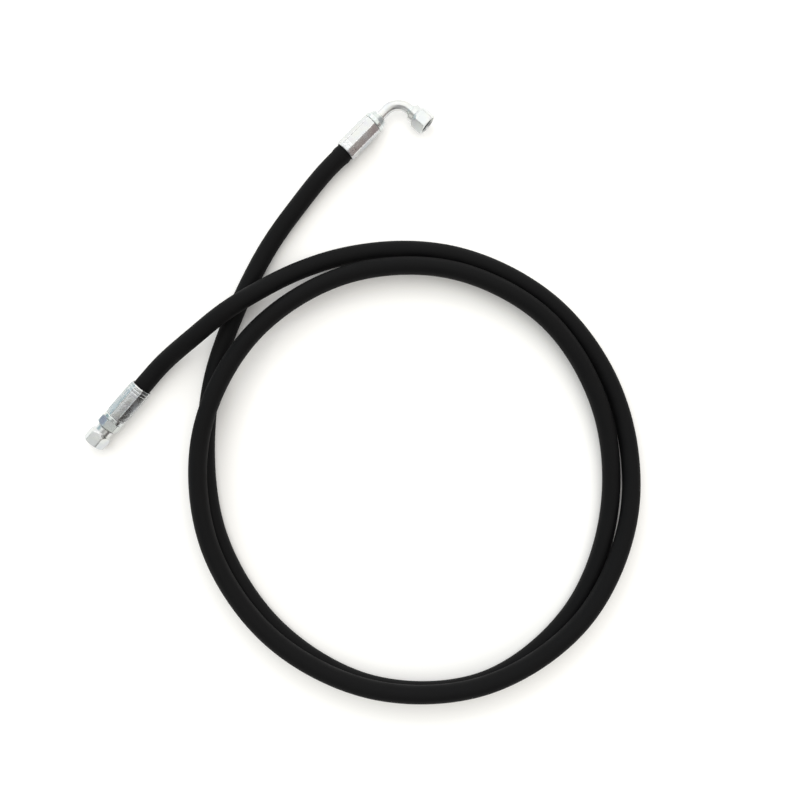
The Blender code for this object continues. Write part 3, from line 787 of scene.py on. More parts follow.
def rounded(loop: Line, fillet: float) -> Array:
    """Round every corner of a closed loop.

    Args:
        loop: the corners, as (radius, height).
        fillet: how far back from a corner its rounding starts.

    Returns:
        Rows of radius, height and how near to a corner the point is.
    """
    corners = np.array(loop)
    rows = []
    for before, corner, after in zip(np.roll(corners, 1, axis=0), corners, np.roll(corners, -1, axis=0)):
        run_in, run_out = corner - before, after - corner
        span_in, span_out = np.linalg.norm(run_in), np.linalg.norm(run_out)
        run_in, run_out = run_in / span_in, run_out / span_out
        if run_in @ run_out > STRAIGHT_ON:
            rows.append((*corner, 0.0))
            continue
        reach = min(fillet, CORNER_SHARE * span_in, CORNER_SHARE * span_out)
        start, end = corner - run_in * reach, corner + run_out * reach
        rows.append((*(corner - run_in * reach * CORNER_LEAD), 0.0))
        for t in np.linspace(0.0, 1.0, CORNER_POINTS):
            spot = (1 - t) ** 2 * start + 2 * t * (1 - t) * corner + t ** 2 * end
            rows.append((*spot, 1.0))
        rows.append((*(corner + run_out * reach * CORNER_LEAD), 0.0))
    return np.array(rows)


def turned_mesh(outside: Line, inside: Line, fillet: float, section: Section, axis: Matrix,
                material: Material) -> Mesh:
    """Turn a closed ring about an axis.

    Args:
        outside: the outer (radius, height) line, going up.
        inside: the bore's line, going up.
        fillet: how far each corner is eased.
        section: how the ring departs from round.
        axis: the axis frame.
        material: the ring's finish.

    Returns:
        The mesh, in the row frame, with its axial and edge marks.
    """
    loop = rounded(outside + inside[::-1], fillet)
    angle = section.angles()[None, :]
    height = np.broadcast_to(loop[:, 1:2], (len(loop), angle.shape[1]))
    radius, edge = section.trim(np.broadcast_to(loop[:, :1], height.shape), height,
                                np.broadcast_to(angle, height.shape))
    edge = np.maximum(edge, loop[:, 2:3])
    local = np.stack([radius * np.cos(angle), radius * np.sin(angle), height], axis=-1).reshape(-1, 3)
    turn = np.array(axis)
    spots = local @ turn[:3, :3].T + turn[:3, 3]
    index = np.arange(len(spots)).reshape(height.shape)
    beside = np.roll(index, -1, axis=1)
    faces = np.stack([index, beside, np.roll(beside, -1, axis=0), np.roll(index, -1, axis=0)], axis=-1)
    mesh = bpy.data.meshes.new("turned")
    mesh.from_pydata(spots.tolist(), [], faces.reshape(-1, 4).tolist())
    for name, marks in (("axial", height), ("edge", edge)):
        values = mesh.attributes.new(name, "FLOAT", "POINT").data
        values.foreach_set("value", marks.ravel().astype(np.float32))
    mesh.materials.append(material)
    mesh.shade_smooth()
    return mesh


# The hose


@dataclass(frozen=True)
class HoseRoute:
    """The hose's given route. Level 0 lies on the floor, level 1 on top of a hose that does."""

    radius: float = 0.0075
    lay_step: float = 0.0155
    axis_height: float = 0.0094
    elbow_end: tuple[float, float] = (-0.0132, 0.1253)
    elbow_tilt: float = math.radians(3.5)
    straight_end: tuple[float, float] = (-0.0123, -0.1331)
    lead_straight: float = 0.0220
    stop: float = 0.0279
    step: float = 0.0040
    elbow_lead: tuple[Place, ...] = (
        (-0.0137, 0.0660, 0.00),
        (-0.0097, 0.0250, 0.00),
        (-0.0007, -0.0150, 0.00),
        (0.0109, -0.0519, 0.00),
        (0.0269, -0.0888, 0.00),
    )
    loop_centre: tuple[float, float] = (0.2044, -0.0383)
    turns: tuple[Place, ...] = (
        (210, 0.1760, 0.00),
        (240, 0.1712, 0.00),
        (270, 0.1735, 0.00),
        (300, 0.1804, 0.00),
        (330, 0.1836, 0.00),
        (360, 0.1756, 0.00),
        (390, 0.1662, 0.00),
        (420, 0.1640, 0.27),
        (450, 0.1675, 0.52),
        (480, 0.1699, 0.56),
        (510, 0.1721, 0.64),
        (540, 0.1743, 0.92),
        (570, 0.1761, 1.00),
        (600, 0.1766, 0.95),
        (630, 0.1769, 0.99),
        (660, 0.1788, 1.01),
        (690, 0.1817, 1.01),
        (720, 0.1820, 0.97),
        (750, 0.1809, 0.44),
        (780, 0.1798, 0.00),
        (810, 0.1811, 0.00),
        (840, 0.1838, 0.00),
        (870, 0.1888, 0.12),
    )
    straight_lead: tuple[Place, ...] = (
        (0.0231, 0.0242, 0.46),
        (0.0107, -0.0093, 0.90),
        (0.0019, -0.0392, 1.06),
        (-0.0047, -0.0710, 0.80),
    )

    @property
    def elbow_mouth(self) -> Vector:
        """Where the hose leaves the elbow's ferrule."""
        return Vector((*self.elbow_end, self.axis_height))

    @property
    def elbow_forward(self) -> Vector:
        """The way on into the elbow's ferrule."""
        return Vector((math.sin(self.elbow_tilt), math.cos(self.elbow_tilt), 0.0))

    @property
    def straight_mouth(self) -> Vector:
        """Where the hose leaves the straight end's ferrule."""
        return Vector((*self.straight_end, self.axis_height))

    @property
    def straight_forward(self) -> Vector:
        """The way on into the straight end's ferrule."""
        return Vector((0.0, -1.0, 0.0))

    def lying(self, x: float, y: float, level: float) -> Vector:
        """A point of the middle line, from its place on the floor and its level."""
        return Vector((x, y, self.radius + level * self.lay_step))

    def knots(self) -> list[Vector]:
        """The given points, from the elbow's ferrule to the straight end's."""
        cx, cy = self.loop_centre
        found = [self.elbow_mouth, self.elbow_mouth - self.elbow_forward * self.lead_straight]
        found += [self.lying(*point) for point in self.elbow_lead]
        for degrees, radius, level in self.turns:
            angle = math.radians(degrees)
            found.append(self.lying(cx + radius * math.cos(angle), cy + radius * math.sin(angle), level))
        found += [self.lying(*point) for point in self.straight_lead]
        lead = self.straight_mouth - self.straight_forward * self.lead_straight
        return found + [lead, self.straight_mouth]

    def smooth(self) -> list[Vector]:
        """Close points on one smooth curve through the knots, none under the floor."""
        knots = self.knots()
        spans = [(b - a).length for a, b in zip(knots, knots[1:])]
        slopes = [(b - a) / span for a, b, span in zip(knots, knots[1:], spans)]
        leans = [slopes[0]]
        for before, after, span, next_span in zip(slopes, slopes[1:], spans, spans[1:]):
            leans.append((before * next_span + after * span) / (span + next_span))
        leans.append(slopes[-1])
        points = []
        for i, span in enumerate(spans):
            count = max(1, round(span / self.step))
            reach = span / 3
            points += interpolate_bezier(knots[i], knots[i] + leans[i] * reach,
                                         knots[i + 1] - leans[i + 1] * reach, knots[i + 1], count + 1)[:-1]
        points.append(knots[-1])
        return [Vector((point.x, point.y, max(point.z, self.radius))) for point in points]

    def line(self) -> list[Vector]:
        """The whole middle line, from the hose's stop in one ferrule to its stop in the other."""
        free = self.smooth()
        count = round(self.stop / self.step)
        into = [self.stop * i / count for i in range(1, count + 1)]
        first = [free[0] + self.elbow_forward * run for run in reversed(into)]
        return first + free + [free[-1] + self.straight_forward * run for run in into]


@dataclass
class Hose:
    """The two-wire-braid hose: cover, two braids and lining along one line."""

    route: HoseRoute
    cut_length: float = 2.55
    cover_wall: float = 0.00135
    braid_radii: tuple[float, float] = (0.00585, 0.0050)
    braid_wall: float = 0.00055
    lining_radius: float = 0.00415
    lining_wall: float = 0.00095
    cover_sides: int = 40
    inner_sides: int = 24
    elbow_swell: float = 0.09
    straight_swell: float = 0.02
    swell_length: float = 0.0030

    def swell(self, points: list[Vector]) -> Array:
        """How the cover bulges where it is squeezed out of the two ferrules.

        Args:
            points: the hose's line.

        Returns:
            The cover's radius at each point, as a share of its plain radius.
        """
        steps = [0.0] + [(b - a).length for a, b in zip(points, points[1:])]
        along = np.cumsum(steps)
        factor = np.ones(len(points))
        ends = [(along - self.route.stop, self.elbow_swell),
                (along[-1] - self.route.stop - along, self.straight_swell)]
        for out, height in ends:
            bulge = np.exp(-((out - self.swell_length) / self.swell_length) ** 2)
            factor += height * bulge * (out > 0.0)
        return factor

    def build(self, shop: Workshop) -> None:
        points = self.route.line()
        plain = np.ones(len(points))
        layers = [
            ("hose_cover", self.route.radius, self.cover_wall, self.cover_sides, COVER, self.swell(points)),
            ("hose_outer_braid", self.braid_radii[0], self.braid_wall, self.inner_sides, BRAID, plain),
            ("hose_inner_braid", self.braid_radii[1], self.braid_wall, self.inner_sides, BRAID, plain),
            ("hose_inner_tube", self.lining_radius, self.lining_wall, self.inner_sides, LINING, plain),
        ]
        for node, radius, wall, sides, finish, swell in layers:
            sizes = {"Radius": radius, "Wall": wall, "Sides": sides}
            mesh = shop.grow(shop.wall, finish, sizes, line_mesh(points, swell))
            add_piece(node + "_layer", mesh, finish, Body.HOSE, node)


# Fittings


@dataclass(frozen=True)
class HoseTail:
    """The barbed tail that both fittings hold in the hose, and the flange that the ferrule stops at."""

    setback: float = 0.0020
    root: float = 0.0026
    crest: float = 0.0029
    bore: float = 0.0020
    barbs: int = 5
    lean: float = 0.8
    lock_start: float = 0.0282
    lock_end: float = 0.0302
    lock_radius: float = 0.0052
    groove: float = 0.0040
    stop_face: float = 0.0328
    flange: float = 0.0092
    flange_length: float = 0.0034
    chamfer: float = 0.0004

    @property
    def flange_end(self) -> float:
        """Where the flange ends."""
        return self.stop_face + self.flange_length

    def outline(self) -> Line:
        """The tail's outer line: barbs, locking shoulder, the ferrule's groove and the flange."""
        pitch = (self.lock_start - self.setback) / (self.barbs + 1)
        line = [(self.root, self.setback)]
        for i in range(self.barbs):
            foot = self.setback + i * pitch
            line += [(self.crest, foot + pitch * self.lean), (self.root, foot + pitch)]
        return line + [(self.root, self.lock_start), (self.lock_radius, self.lock_start),
                       (self.lock_radius, self.lock_end), (self.groove, self.lock_end),
                       (self.groove, self.stop_face), (self.flange - self.chamfer, self.stop_face),
                       (self.flange, self.stop_face + self.chamfer),
                       (self.flange, self.flange_end - self.chamfer),
                       (self.flange - self.chamfer, self.flange_end)]


@dataclass(frozen=True)
class SwivelHead:
    """The cone head that a nut turns on, with the groove for its seal."""

    neck: float = 0.0050
    radius: float = 0.00595
    back: float = 0.0046
    rise: float = 0.00095
    cone_start: float = 0.00715
    cone_length: float = 0.0050
    half_angle: float = math.radians(12.0)
    bore: float = 0.0020
    seal_section: float = 0.0014
    seal_proud: float = 0.00035
    seal_back: float = 0.0026
    seal_gap: float = 0.0002

    @property
    def tip(self) -> float:
        """The cone's tip, from the nut's rear."""
        return self.cone_start + self.cone_length

    def cone(self, back: float) -> float:
        """The cone's radius, so far back from its tip."""
        return self.neck - (self.cone_length - back) * math.tan(self.half_angle)

    @property
    def seal_radius(self) -> float:
        """The radius of the seal's middle line."""
        return self.cone(self.seal_back) + self.seal_proud - self.seal_section / 2

    def outline(self, rear: float) -> Line:
        """The head's outer line, from its neck in the nut's lip to the cone's tip."""
        half = self.seal_section / 2 + self.seal_gap
        middle = self.tip - self.seal_back
        floor = self.seal_radius - half
        line = [(self.neck, self.back), (self.radius, self.back + self.rise),
                (self.radius, self.cone_start), (self.neck, self.cone_start),
                (self.cone(self.seal_back + half), middle - half),
                (floor, middle - half), (floor, middle + half),
                (self.cone(self.seal_back - half), middle + half), (self.cone(0.0), self.tip)]
        return [(radius, rear + height) for radius, height in line]


@dataclass(frozen=True)
class HexStock:
    """Hexagon bar, turned down to a slanted chamfer at its ends."""

    flats: float = 0.0170
    chamfer: float = 0.0004
    slope: float = 0.5
    step: float = 0.00012

    @property
    def radius(self) -> float:
        """The round that the slants start from, just outside the corners."""
        return self.flats / 2 / math.cos(math.pi / 6) + self.chamfer

    @property
    def face(self) -> float:
        """The flat end's radius."""
        return self.flats / 2 - self.chamfer

    @property
    def run(self) -> float:
        """How far along the bar a slant reaches."""
        return (self.radius - self.flats / 2 + self.chamfer) * self.slope

    def back(self, height: float) -> Line:
        """The slant up from an end at a height."""
        return finely([(self.face, height), (self.radius, height + self.run)], self.step)

    def front(self, height: float) -> Line:
        """The slant up to an end at a height."""
        return finely([(self.radius, height - self.run), (self.face, height)], self.step)


@dataclass
class SealRing:
    """The O-ring in a swivel head's groove."""

    name: str
    axis: Matrix
    rear: float
    head: SwivelHead
    sides: int = 20
    steps: int = 72

    def build(self, shop: Workshop) -> None:
        """Build the seal."""
        half = self.head.seal_section / 2
        height = self.rear + self.head.tip - self.head.seal_back
        angles = np.linspace(-math.pi / 2, math.pi / 2, self.sides // 2 + 1)
        arc = [(half * math.cos(angle), height + half * math.sin(angle)) for angle in angles]
        outside = [(self.head.seal_radius + out, up) for out, up in arc]
        inside = [(self.head.seal_radius - out, up) for out, up in arc[1:-1]]
        section = RoundSection(self.steps)
        mesh = turned_mesh(outside, inside, half / self.sides, section, self.axis, shop.material(SEAL))
        add_piece(self.name + "_seal", mesh, SEAL, Body.HOSE, self.name)


@dataclass
class Ferrule:
    """A crimped shell: turned mouth with two rings, eight jaw lines and a lip that locks on the insert."""

    name: str
    axis: Matrix
    ridge_turn: float
    radius: float = 0.0094
    bore: float = 0.0078
    length: float = 0.03276
    lip: float = 0.0020
    lip_bore: float = 0.0043
    chamfer: float = 0.0006
    mouth_flare: float = 0.0005
    teeth: int = 4
    tooth_depth: float = 0.0005
    tooth_width: float = 0.0024
    tooth_run: float = 0.0279
    rings: int = 2
    ring_depth: float = 0.00013
    ring_width: float = 0.0014
    ring_pitch: float = 0.0027
    ring_setback: float = 0.0034
    line_width: float = 0.0007
    line_height: float = 0.00022
    line_setback: float = 0.0016

    def outlines(self) -> tuple[Line, Line]:
        """The shell's outer and inner lines."""
        outside = [(self.radius - self.chamfer, 0.0), (self.radius, self.chamfer)]
        for i in range(self.rings):
            middle = self.ring_setback + i * self.ring_pitch
            outside += [(self.radius, middle - self.ring_width / 2),
                        (self.radius - self.ring_depth, middle),
                        (self.radius, middle + self.ring_width / 2)]
        outside += [(self.radius, self.length - self.chamfer), (self.radius - self.chamfer, self.length)]
        inside = [(self.bore + self.mouth_flare, 0.0), (self.bore, self.mouth_flare)]
        for i in range(self.teeth):
            middle = (i + 1) * self.tooth_run / (self.teeth + 1)
            inside += [(self.bore, middle - self.tooth_width / 2), (self.bore + self.tooth_depth, middle),
                       (self.bore, middle + self.tooth_width / 2)]
        step = self.length - self.lip
        return outside, inside + [(self.bore, step), (self.lip_bore, step), (self.lip_bore, self.length)]

    def build(self, shop: Workshop) -> None:
        """Build the shell and the lines that the crimping jaws left on it."""
        outside, inside = self.outlines()
        section = CrimpSection(self.radius, self.ridge_turn)
        shell = turned_mesh(outside, inside, FILLET, section, self.axis, shop.material(FERRULE_ZINC))
        add_piece(self.name + "_shell", shell, FERRULE_ZINC, Body.HOSE, self.name)
        thickness = ((self.line_width / 2) ** 2 + self.line_height ** 2) / (2 * self.line_height)
        lines = shop.grow(shop.crimp_lines, FERRULE_ZINC, {
            "Jaws": section.jaws, "Radius": self.radius + self.line_height - thickness,
            "Thickness": thickness, "Length": self.length - 2 * self.line_setback,
            "Setback": self.line_setback, "Turn": -self.ridge_turn})
        lines.transform(self.axis)
        add_piece(self.name + "_crimp_lines", lines, FERRULE_ZINC, Body.HOSE)


@dataclass
class StraightInsert:
    """The straight fitting's insert: tail, flange, hexagon and cone head turned from one bar."""

    axis: Matrix
    tail: HoseTail
    head: SwivelHead
    stock: HexStock = HexStock()
    hex_length: float = 0.0077
    hex_turn: float = math.radians(23.5)
    hex_lead: float = 0.00002
    nut_gap: float = 0.0007

    @property
    def nut_rear(self) -> float:
        """Where the nut starts."""
        return self.tail.flange_end + self.hex_length + self.nut_gap

    def build(self, shop: Workshop) -> None:
        """Build the insert."""
        low, high = self.tail.flange_end, self.tail.flange_end + self.hex_length
        outside = self.tail.outline() + self.stock.back(low) + self.stock.front(high)
        outside += [(self.head.neck, high)] + self.head.outline(self.nut_rear)
        inside = [(self.tail.bore, self.tail.setback), (self.head.bore, outside[-1][1])]
        section = HexSection(self.stock.flats, low + self.hex_lead, high, self.hex_turn)
        mesh = turned_mesh(outside, inside, FINE_FILLET, section, self.axis, shop.material(INSERT_ZINC))
        add_piece("straight_insert_body", mesh, INSERT_ZINC, Body.HOSE, "straight_insert")


@dataclass
class SwivelNut:
    """A swivel nut: hexagon, domed back, a collar rolled in behind the head, and its thread."""

    name: str
    axis: Matrix
    rear: float
    body: Body
    hex_turn: float = 0.0
    stock: HexStock = HexStock()
    lip: float = 0.0045
    lip_bore: float = 0.0053
    collar: float = 0.0073
    collar_length: float = 0.0043
    taper: float = 0.0046
    taper_bulge: float = 0.5
    taper_points: int = 33
    hex_length: float = 0.0082
    thread_root: float = 0.00705
    thread_crest: float = 0.00628
    thread_section: float = 0.0006
    thread_pitch: float = 0.0015
    thread_start: float = 0.0078
    mouth_chamfer: float = 0.0009
    mouth_slope: float = 0.4

    def shoulder(self, waist: float) -> Line:
        """The domed line from the collar's end out to the hexagon's stock."""
        share = np.linspace(0.0, 1.0, self.taper_points)
        domed = share + self.taper_bulge * share * (1 - share)
        out = self.stock.radius - self.collar
        return [(self.collar + out * d, waist + self.taper * t) for t, d in zip(share, domed)]

    def build(self, shop: Workshop) -> None:
        """Build the nut and its thread."""
        chamfer = self.stock.chamfer
        waist = self.rear + self.collar_length
        front = waist + self.taper + self.hex_length
        seat = self.rear + self.lip
        outside = [(self.collar - chamfer, self.rear), (self.collar, self.rear + chamfer)]
        outside += self.shoulder(waist) + self.stock.front(front)
        inside = [(self.lip_bore, self.rear), (self.lip_bore, seat),
                  (self.thread_root, seat + self.thread_root - self.lip_bore),
                  (self.thread_root, front - self.mouth_chamfer),
                  (self.thread_root + self.mouth_chamfer * self.mouth_slope, front)]
        section = HexSection(self.stock.flats, self.rear, front + chamfer, self.hex_turn)
        mesh = turned_mesh(outside, inside, FINE_FILLET, section, self.axis, shop.material(NUT_ZINC))
        add_piece(self.name + "_body", mesh, NUT_ZINC, self.body, self.name)
        start = self.rear + self.thread_start
        length = front - self.mouth_chamfer / 2 - start
        thread = shop.grow(shop.thread, NUT_ZINC, {
            "Radius": self.thread_crest + self.thread_section, "Section": self.thread_section,
            "Turns": length / self.thread_pitch, "Length": length})
        thread.transform(self.axis @ Matrix.Translation((0.0, 0.0, start)))
        add_piece(self.name + "_thread", thread, NUT_ZINC, self.body)


@dataclass
class ElbowPipe:
    """The elbow's tail, bent pipe and cone head."""

    axis: Matrix
    nut_axis: Matrix
    tail: HoseTail
    head: SwivelHead
    collar: float = 0.0069
    taper: float = 0.0040
    land: float = 0.0010
    socket: float = 0.0046
    socket_depth: float = 0.0036
    pipe_radius: float = 0.0043
    pipe_wall: float = 0.0013
    bend_radius: float = 0.0145
    bend_angle: float = math.radians(86.5)
    run_in: float = 0.0069
    run_out: float = 0.00088
    fit_gap: float = 0.0003
    neck_behind_nut: float = 0.0020
    spigot: float = 0.0026
    spigot_wall: float = 0.0008
    spigot_length: float = 0.0020
    chamfer: float = 0.0004
    braze_rise: float = 0.09
    braze_reach: float = 0.0003
    run_step: float = 0.0002
    out_shares: tuple[float, ...] = (0.3, 0.6, 0.8, 1.0)
    bend_steps: int = 48
    pipe_sides: int = 56

    @property
    def collar_end(self) -> float:
        """Where the pipe comes out of the tail's collar."""
        return self.tail.flange_end + self.taper + self.land

    def line(self) -> list[Vector]:
        """The pipe's middle line in the tail's axis frame, bent towards its own -X."""
        start = self.collar_end + self.run_in
        points = [Vector((0.0, 0.0, self.collar_end - self.socket_depth + self.fit_gap))]
        heights = np.arange(self.collar_end - self.run_step, start, self.run_step)
        points += [Vector((0.0, 0.0, height)) for height in heights]
        for angle in np.linspace(0.0, self.bend_angle, self.bend_steps + 1):
            points.append(Vector((-self.bend_radius * (1 - math.cos(angle)), 0.0,
                                  start + self.bend_radius * math.sin(angle))))
        out = Vector((-math.sin(self.bend_angle), 0.0, math.cos(self.bend_angle)))
        return points + [points[-1] + out * self.run_out * share for share in self.out_shares]

    def braze(self, points: list[Vector]) -> Array:
        """How the pipe thickens into the braze at its two joints.

        Args:
            points: the pipe's middle line.

        Returns:
            The pipe's radius at each point, as a share of its plain radius.
        """
        along = np.cumsum([0.0] + [(b - a).length for a, b in zip(points, points[1:])])
        collar = np.maximum(along - self.socket_depth + self.fit_gap, 0.0)
        fillets = sum(np.exp(-run / self.braze_reach) for run in (collar, along[-1] - along))
        return 1 + self.braze_rise * fillets * (along > self.socket_depth - 2 * self.fit_gap)

    def build(self, shop: Workshop) -> None:
        """Build the tail, the pipe and the head."""
        insert = shop.material(INSERT_ZINC)
        floor = self.collar_end - self.socket_depth
        outside = self.tail.outline() + [
            (self.collar, self.collar_end - self.land), (self.collar, self.collar_end - self.chamfer),
            (self.collar - self.chamfer, self.collar_end)]
        inside = [(self.tail.bore, self.tail.setback), (self.tail.bore, floor), (self.socket, floor),
                  (self.socket, self.collar_end)]
        tail = turned_mesh(outside, inside, FILLET, RoundSection(), self.axis, insert)
        add_piece("elbow_hose_tail_body", tail, INSERT_ZINC, Body.HOSE, "elbow_hose_tail")

        points = [self.axis @ point for point in self.line()]
        sizes = {"Radius": self.pipe_radius, "Wall": self.pipe_wall, "Sides": self.pipe_sides}
        pipe = shop.grow(shop.wall, PIPE_ZINC, sizes, line_mesh(points, self.braze(points)))
        add_piece("elbow_bent_pipe_body", pipe, PIPE_ZINC, Body.HOSE, "elbow_bent_pipe")

        joint = -self.neck_behind_nut
        outside = [(self.spigot, joint - self.spigot_length), (self.spigot, joint), (self.head.neck, joint)]
        outside += self.head.outline(0.0)
        inside = [(self.spigot - self.spigot_wall, joint - self.spigot_length),
                  (self.spigot - self.spigot_wall, joint), (self.head.bore, joint + self.chamfer),
                  (self.head.bore, self.head.tip)]
        head = turned_mesh(outside, inside, FINE_FILLET, RoundSection(), self.nut_axis, insert)
        add_piece("elbow_cone_head_body", head, INSERT_ZINC, Body.HOSE, "elbow_cone_head")


# Studio


@dataclass(frozen=True)
class SkyLobe:
    """A soft-edged part of the room with a light of its own."""

    side: Place
    rim: float
    core: float
    light: Colour


@dataclass(frozen=True)
class Bounce:
    """A painted pool of light on the floor, where bright metal would throw light back into its own shadow.
    """

    place: Place
    share: float
    reach: float

    @property
    def core(self) -> float:
        """How far the full share reaches."""
        return self.reach / 3


@dataclass
class Studio:
    """White floor, soft light from -X, +Y and above, and a camera straight overhead."""

    camera_place: Place = (0.1565, -0.0004, 0.6692)
    camera_turn: float = math.radians(41.0)
    lens: float = 35.73
    sensor: float = 36.0
    middle: Place = (0.18, -0.02, 0.0)
    light_side: tuple[float, float] = (-0.81, 0.58)
    floor_half: float = 6.0
    floor_colour: Colour = (0.78, 0.77, 0.745)
    floor_glow: float = 0.42
    floor_glint: float = 0.66
    bounces: tuple[Bounce, ...] = (
        Bounce((-0.012, -0.165, 0.0), 0.20, 0.055),
        Bounce((0.016, 0.176, 0.0), 0.95, 0.036),
    )
    contact_reach: float = 0.034
    contact_lean: float = 0.9
    key_power: float = 16.0
    key_size: float = 2.3
    key_distance: float = 1.27
    key_height: float = 1.90
    sky_colour: Colour = (1.0, 0.99, 0.97)
    sky_level: float = 0.53
    lobes: tuple[SkyLobe, ...] = (
        SkyLobe((-0.45, 0.32, 0.83), 0.70, 0.80, (1.36, 1.37, 1.34)),
        SkyLobe((-0.45, 0.32, 0.83), 0.85, 0.92, (0.70, 0.69, 0.65)),
        SkyLobe((0.20, -0.33, 0.92), 0.95, 0.985, (0.40, 0.39, 0.38)),
        SkyLobe((0.95, -0.25, 0.00), 0.82, 0.93, (0.08, 0.072, 0.068)),
        SkyLobe((-0.97, -0.25, 0.05), 0.60, 0.95, (0.40, 0.60, 0.66)),
        SkyLobe((-0.85, 0.40, 0.30), 0.80, 0.95, (1.45, 1.45, 1.48)),
        SkyLobe((-0.22, 0.94, 0.25), 0.84, 0.95, (1.55, 1.54, 1.50)),
        SkyLobe((-0.15, -0.97, 0.12), 0.80, 0.93, (1.15, 1.14, 1.08)),
        SkyLobe((0.60, 0.20, 0.775), 0.86, 0.96, (1.52, 1.50, 1.43)),
        SkyLobe((0.93, 0.25, 0.25), 0.88, 0.96, (0.46, 0.38, 0.36)),
    )

    def build(self) -> None:
        """Set up the view, the floor, the lights and the camera."""
        bpy.context.scene.view_settings.view_transform = "Standard"
        self.add_camera()
        self.add_floor()
        self.add_key()
        self.add_sky()
        LOG.info("studio is set")

    def add_camera(self) -> None:
        """Add the camera at the photograph's viewing angle."""
        data = bpy.data.cameras.new("photo_view")
        data.lens = self.lens
        data.sensor_width = self.sensor
        camera = in_scene("photo_view", data)
        turn = Matrix.Rotation(self.camera_turn, 4, "Z")
        camera.matrix_world = Matrix.Translation(self.camera_place) @ turn
        bpy.context.scene.camera = camera

    def add_floor(self) -> None:
        """Add the white floor, which keeps the shadow and looks white to the camera and in metal."""
        half = self.floor_half
        corners = [(-half, -half, 0.0), (half, -half, 0.0), (half, half, 0.0), (-half, half, 0.0)]
        mesh = bpy.data.meshes.new("floor")
        mesh.from_pydata(corners, [], [(0, 1, 2, 3)])
        floor = in_scene("floor", mesh)
        material = bpy.data.materials.new("white_floor")
        material.use_nodes = True
        graph = Graph(material.node_tree)
        graph.tree.nodes.clear()
        path = graph.add("ShaderNodeLightPath").outputs
        spot = graph.add("ShaderNodeTexCoord").outputs["Object"]
        paint = graph.out("ShaderNodeBsdfDiffuse", {"Color": (*self.floor_colour, 1.0)})
        # The floor's glow is painted light: ambient occlusion, leant towards the light's side, dims it into
        # a painted contact shadow, and each bounce lifts it into a painted pool of light.
        lean = Vector((*self.light_side, 0.0)) * self.contact_lean + UP
        facing = graph.out("ShaderNodeCombineXYZ", {"X": lean.x, "Y": lean.y, "Z": lean.z})
        nearby = graph.add("ShaderNodeAmbientOcclusion", {"Distance": self.contact_reach, "Normal": facing})
        open_floor = nearby.outputs["AO"]
        for bounce in self.bounces:
            away = graph.measure("DISTANCE", spot, bounce.place)
            lit = graph.spread(away, bounce.core, bounce.reach, bounce.share, 0.0)
            shaded = graph.maths("SUBTRACT", 1.0, open_floor)
            open_floor = graph.maths("MULTIPLY_ADD", shaded, lit, open_floor)
        seen = graph.maths("MULTIPLY", path["Is Camera Ray"], self.floor_glow)
        seen = graph.maths("MULTIPLY_ADD", path["Is Glossy Ray"], self.floor_glint, seen)
        strength = graph.maths("MULTIPLY", seen, open_floor)
        shine = graph.out("ShaderNodeEmission", {"Color": (*WHITE, 1.0), "Strength": strength})
        both = graph.out("ShaderNodeAddShader", {0: paint, 1: shine})
        graph.add("ShaderNodeOutputMaterial", {"Surface": both})
        mesh.materials.append(material)

    def add_key(self) -> None:
        """Add the large soft lamp."""
        data = bpy.data.lights.new("window", "AREA")
        data.shape = "SQUARE"
        data.size = self.key_size
        data.energy = self.key_power
        middle = Vector(self.middle)
        side = Vector((*self.light_side, 0.0)).normalized() * self.key_distance
        place = middle + side + UP * self.key_height
        turn = (place - middle).to_track_quat("Z", "Y").to_matrix().to_4x4()
        in_scene("window", data).matrix_world = Matrix.Translation(place) @ turn

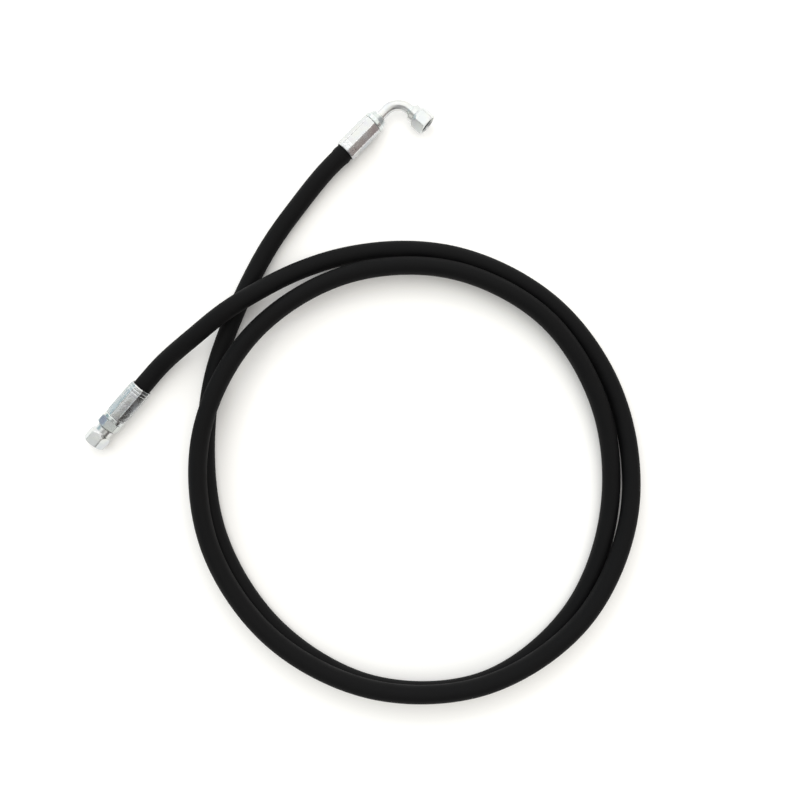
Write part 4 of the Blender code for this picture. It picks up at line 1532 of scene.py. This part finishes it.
    def add_sky(self) -> None:
        """Light the room by its lobes, and leave it plain white to the camera."""
        world = bpy.data.worlds.new("room")
        world.use_nodes = True
        bpy.context.scene.world = world
        graph = Graph(world.node_tree)
        graph.tree.nodes.clear()
        direction = graph.add("ShaderNodeTexCoord").outputs["Generated"]
        light = tuple(self.sky_level * channel for channel in self.sky_colour)
        for lobe in self.lobes:
            towards = graph.measure("DOT_PRODUCT", direction, tuple(Vector(lobe.side).normalized()))
            share = graph.spread(towards, lobe.rim, lobe.core, 0.0, 1.0, "SMOOTHSTEP")
            light = graph.mix(share, light, lobe.light)
        seen = graph.add("ShaderNodeLightPath").outputs["Is Camera Ray"]
        room = graph.out("ShaderNodeBackground", {"Color": graph.mix(seen, light, WHITE), "Strength": 1.0})
        graph.add("ShaderNodeOutputWorld", {"Surface": room})


# The whole assembly

STRAIGHT_RIDGE_TURN = math.radians(-15.2)
ELBOW_RIDGE_TURN = math.radians(-17.3)
STRAIGHT_NUT_TURN = math.radians(2.2)


def swivel_axis(joint: str) -> Matrix:
    """The axis frame of a nut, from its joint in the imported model."""
    found = next(entry for entry in frame["joints"] if entry["name"] == joint)
    return axis_matrix(Vector(found["pos_m"]), Vector(found["axis"]))


def main() -> None:
    """Build the studio, the hose and both fittings."""
    logging.basicConfig(level=logging.INFO, format="%(message)s")
    Studio().build()
    shop = Workshop()
    route = HoseRoute()
    tail = HoseTail()
    head = SwivelHead()
    Hose(route).build(shop)

    elbow_nut_axis = swivel_axis("elbow_nut_swivel")
    straight_axis = axis_matrix(route.straight_mouth, route.straight_forward)
    elbow_axis = axis_matrix(route.elbow_mouth, route.elbow_forward)

    insert = StraightInsert(straight_axis, tail, head)
    fittings = [
        Ferrule("straight_ferrule", straight_axis, STRAIGHT_RIDGE_TURN),
        insert,
        SealRing("straight_o_ring", straight_axis, insert.nut_rear, head),
        SwivelNut("straight_nut", straight_axis, insert.nut_rear, Body.STRAIGHT_NUT, STRAIGHT_NUT_TURN),
        Ferrule("elbow_ferrule", elbow_axis, ELBOW_RIDGE_TURN),
        ElbowPipe(elbow_axis, elbow_nut_axis, tail, head),
        SealRing("elbow_o_ring", elbow_nut_axis, 0.0, head),
        SwivelNut("elbow_nut", elbow_nut_axis, 0.0, Body.ELBOW_NUT),
    ]
    for fitting in fittings:
        fitting.build(shop)


if __name__ == "__main__":
    main()
